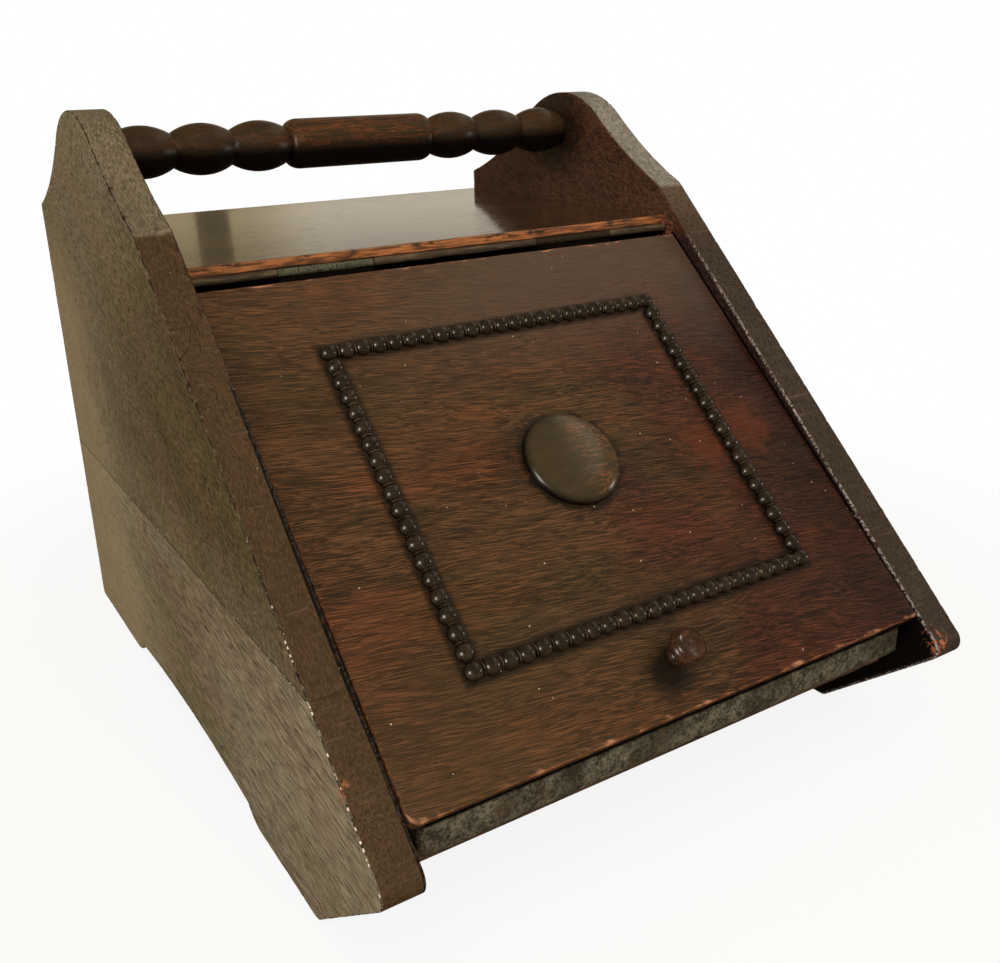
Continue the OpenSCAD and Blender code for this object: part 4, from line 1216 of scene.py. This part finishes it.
def dress_handle():
    """The carry handle."""
    wood = turned_oak("handle wood", rgb(0.030, 0.020, 0.011), rgb(0.140, 0.042, 0.015), 0.95,
                      rough=(0.22, 0.34), gloss=0.3, blotch=0.0,
                      painted_shade_below=(0.3215, 0.333), plain_till=(-0.070, -0.050, 0.4),
                      plain_from=(0.050, 0.056))
    dress(make_handle(), wood, "box", "turned_wood", "carry_handle")


def dress_metal():
    """Hinges, screws, nails and liner."""
    hinges = [f"{side}_hinge_{part}" for side in ("left", "right")
              for part in ("board_leaf", "lid_leaf", "pin")]
    repaint(old_brass(), *hinges, "board_hinge_screws", "lid_hinge_screws")
    repaint(old_steel(), "knob_screw", "cheek_screws", "back_nails")
    repaint(galvanised(), "liner")


# ---- Studio ----

def face_object(name, data, view, middle, distance):
    """Stands a camera or lamp at a distance from a place that it looks at. The view is its
    azimuth, its elevation and its turn about its own line of sight, in degrees."""
    azimuth, elevation, roll = np.radians(view)
    back = np.array([np.sin(azimuth) * np.cos(elevation),
                     -np.cos(azimuth) * np.cos(elevation), np.sin(elevation)])
    level = np.cross(-back, [0, 0, 1])
    level /= np.linalg.norm(level)
    upright = np.cross(level, -back)
    right = np.cos(roll) * level + np.sin(roll) * upright
    up = -np.sin(roll) * level + np.cos(roll) * upright
    turn = np.eye(4)
    turn[:3] = np.stack([right, up, back, np.array(middle) + distance * back], 1)
    thing = bpy.data.objects.new(name, data)
    thing.matrix_world = Matrix(turn.tolist())
    bpy.context.scene.collection.objects.link(thing)
    return thing


def stand_camera():
    """The camera at the photograph's place. Its focal length is in widths of the picture,
    and its shift puts the middle of the lens on a pixel of the 1000 by 963 picture."""
    sensor, focal = 36, 1.06277611
    lens_x, lens_y = 482.24144, 466.34592
    lens = bpy.data.cameras.new("camera")
    lens.sensor_width = sensor
    lens.lens = focal * sensor
    lens.shift_x = (500 - lens_x) / 1000
    lens.shift_y = (lens_y - 481.5) / 1000
    lens.clip_start = 0.01
    bpy.context.scene.camera = face_object("camera", lens, (-31.65934, 20.47058, -1.28244),
                                           (0.093020, 0.124610, 0.077692), 0.829796)


def hang_lamp(name, azimuth, elevation, distance, width, height, power, mirrored=True):
    """A soft warm lamp that looks at the middle of the object from an azimuth and
    elevation, and shows in glossy surfaces only if mirrored."""
    lamp = bpy.data.lights.new(name, "AREA")
    lamp.shape = "RECTANGLE"
    lamp.size, lamp.size_y = width, height
    lamp.energy = power
    lamp.color = (1.0, 0.945, 0.85)
    stand = face_object(name, lamp, (azimuth, elevation, 0), (0, 0, 0.16), distance)
    stand.visible_glossy = mirrored


def room_sheen(w, direction, window):
    """How bright glossy surfaces see the room: pale behind the object up to the height of
    its top, with a thin dark upright, dim above and in front, pale at the upper right, and
    white round the left window."""
    aside, ahead, rise = (w.add("SeparateXYZ", {0: direction}, k) for k in range(3))
    behind = w.times(w.step(ahead, 0.0, 0.55), w.step(rise, 0.35, 0.8, 1.0, 0.1),
                     w.step(rise, 0.105, 0.165, 1.0, 0.5),
                     w.step(aside, 0.33, 0.40, 0.6, 1.0),
                     w.step(w.size(w.minus(aside, 0.306)), 0.0115, 0.0155))
    right = w.times(w.step(aside, 0.42, 0.72, 0.0, 0.9), w.step(rise, 0.55, 0.72))
    sheen = w.most(w.step(behind, 0.0, 1.0, 0.12, 0.8), right)
    return w.most(sheen, w.step(window, 0.84, 0.96)), aside


def light_studio():
    """A plain soft room, white to the camera and dimmer to the object, and a few soft
    lamps. Glossy surfaces see the room's sheen, cream but paler at the right and round the
    left window."""
    world = bpy.data.worlds.new("room")
    bpy.context.scene.world = world
    world.use_nodes = True
    w = Nodes(world.node_tree)
    rays, direction = w.rays(), w.add("TexCoord", out="Generated")
    to_window = (-0.8996, -0.3635, 0.2419)
    window = w.add("VectorMath", {0: direction, 1: to_window}, "Value",
                   operation="DOT_PRODUCT")
    sheen, aside = room_sheen(w, direction, window)
    seen = w.most(rays["Is Camera Ray"], rays["Is Transmission Ray"])
    level = w.between(seen, w.between(rays["Is Glossy Ray"], 0.5, sheen), 1.0)
    pale = w.most(w.step(aside, 0.3, 0.42), w.step(window, 0.8, 0.88, 0.0, 1.4))
    cream = w.mix(pale, rgb(1.0, 0.82, 0.46), rgb(1.0, 0.89, 0.71))
    wall = w.mix(seen, cream, rgb(1.0, 1.0, 1.0))
    w.add("OutputWorld", {"Surface": w.add("Background", {"Color": wall, "Strength": level})})
    hang_lamp("left window", -68, 14, 2.0, 0.66, 0.8, 11)
    hang_lamp("right window", 62, 5, 2.0, 0.26, 0.46, 2)
    hang_lamp("front lamp", -6, 25, 1.9, 0.8, 0.8, 12, mirrored=False)
    hang_lamp("top lamp", -28, 56, 2.2, 1.9, 1.9, 20, mirrored=False)


def lay_floor():
    """A wide pale floor just below the feet. To the camera it is white, with a soft shadow
    near the object; it throws sandy light on the object, and glossy surfaces see it dim."""
    half, drop = 6.0, 0.0004
    mesh = bpy.data.meshes.new("floor")
    mesh.from_pydata([(x, y, -drop) for x, y in rectangle(-half, half, -half, half)], [],
                     [(0, 1, 2, 3)])
    floor = bpy.data.objects.new("floor", mesh)
    bpy.context.scene.collection.objects.link(floor)
    f = Finish("pale floor")
    rays = f.rays()
    sand = f.mix(rays["Is Glossy Ray"], rgb(0.72, 0.63, 0.48), rgb(0.12, 0.10, 0.076))
    sand = f.mix(rays["Is Camera Ray"], sand, rgb(0.8, 0.8, 0.8))
    paper = f.add("BsdfDiffuse", {"Color": sand})
    white = f.add("Emission", {"Color": rgb(1, 1, 1), "Strength": 1.0})
    share = f.times(rays["Is Camera Ray"], f.step(f.far((0, 0, 0)), 0.3, 0.7, 0.87, 1.0))
    f.add("OutputMaterial", {"Surface": f.add("MixShader", {0: share, 1: paper, 2: white})})
    mesh.materials.append(f.material)


def main():
    bpy.context.scene.view_settings.view_transform = "Standard"
    stand_camera()
    light_studio()
    lay_floor()
    dress_case()
    dress_lid()
    dress_handle()
    dress_metal()


main()
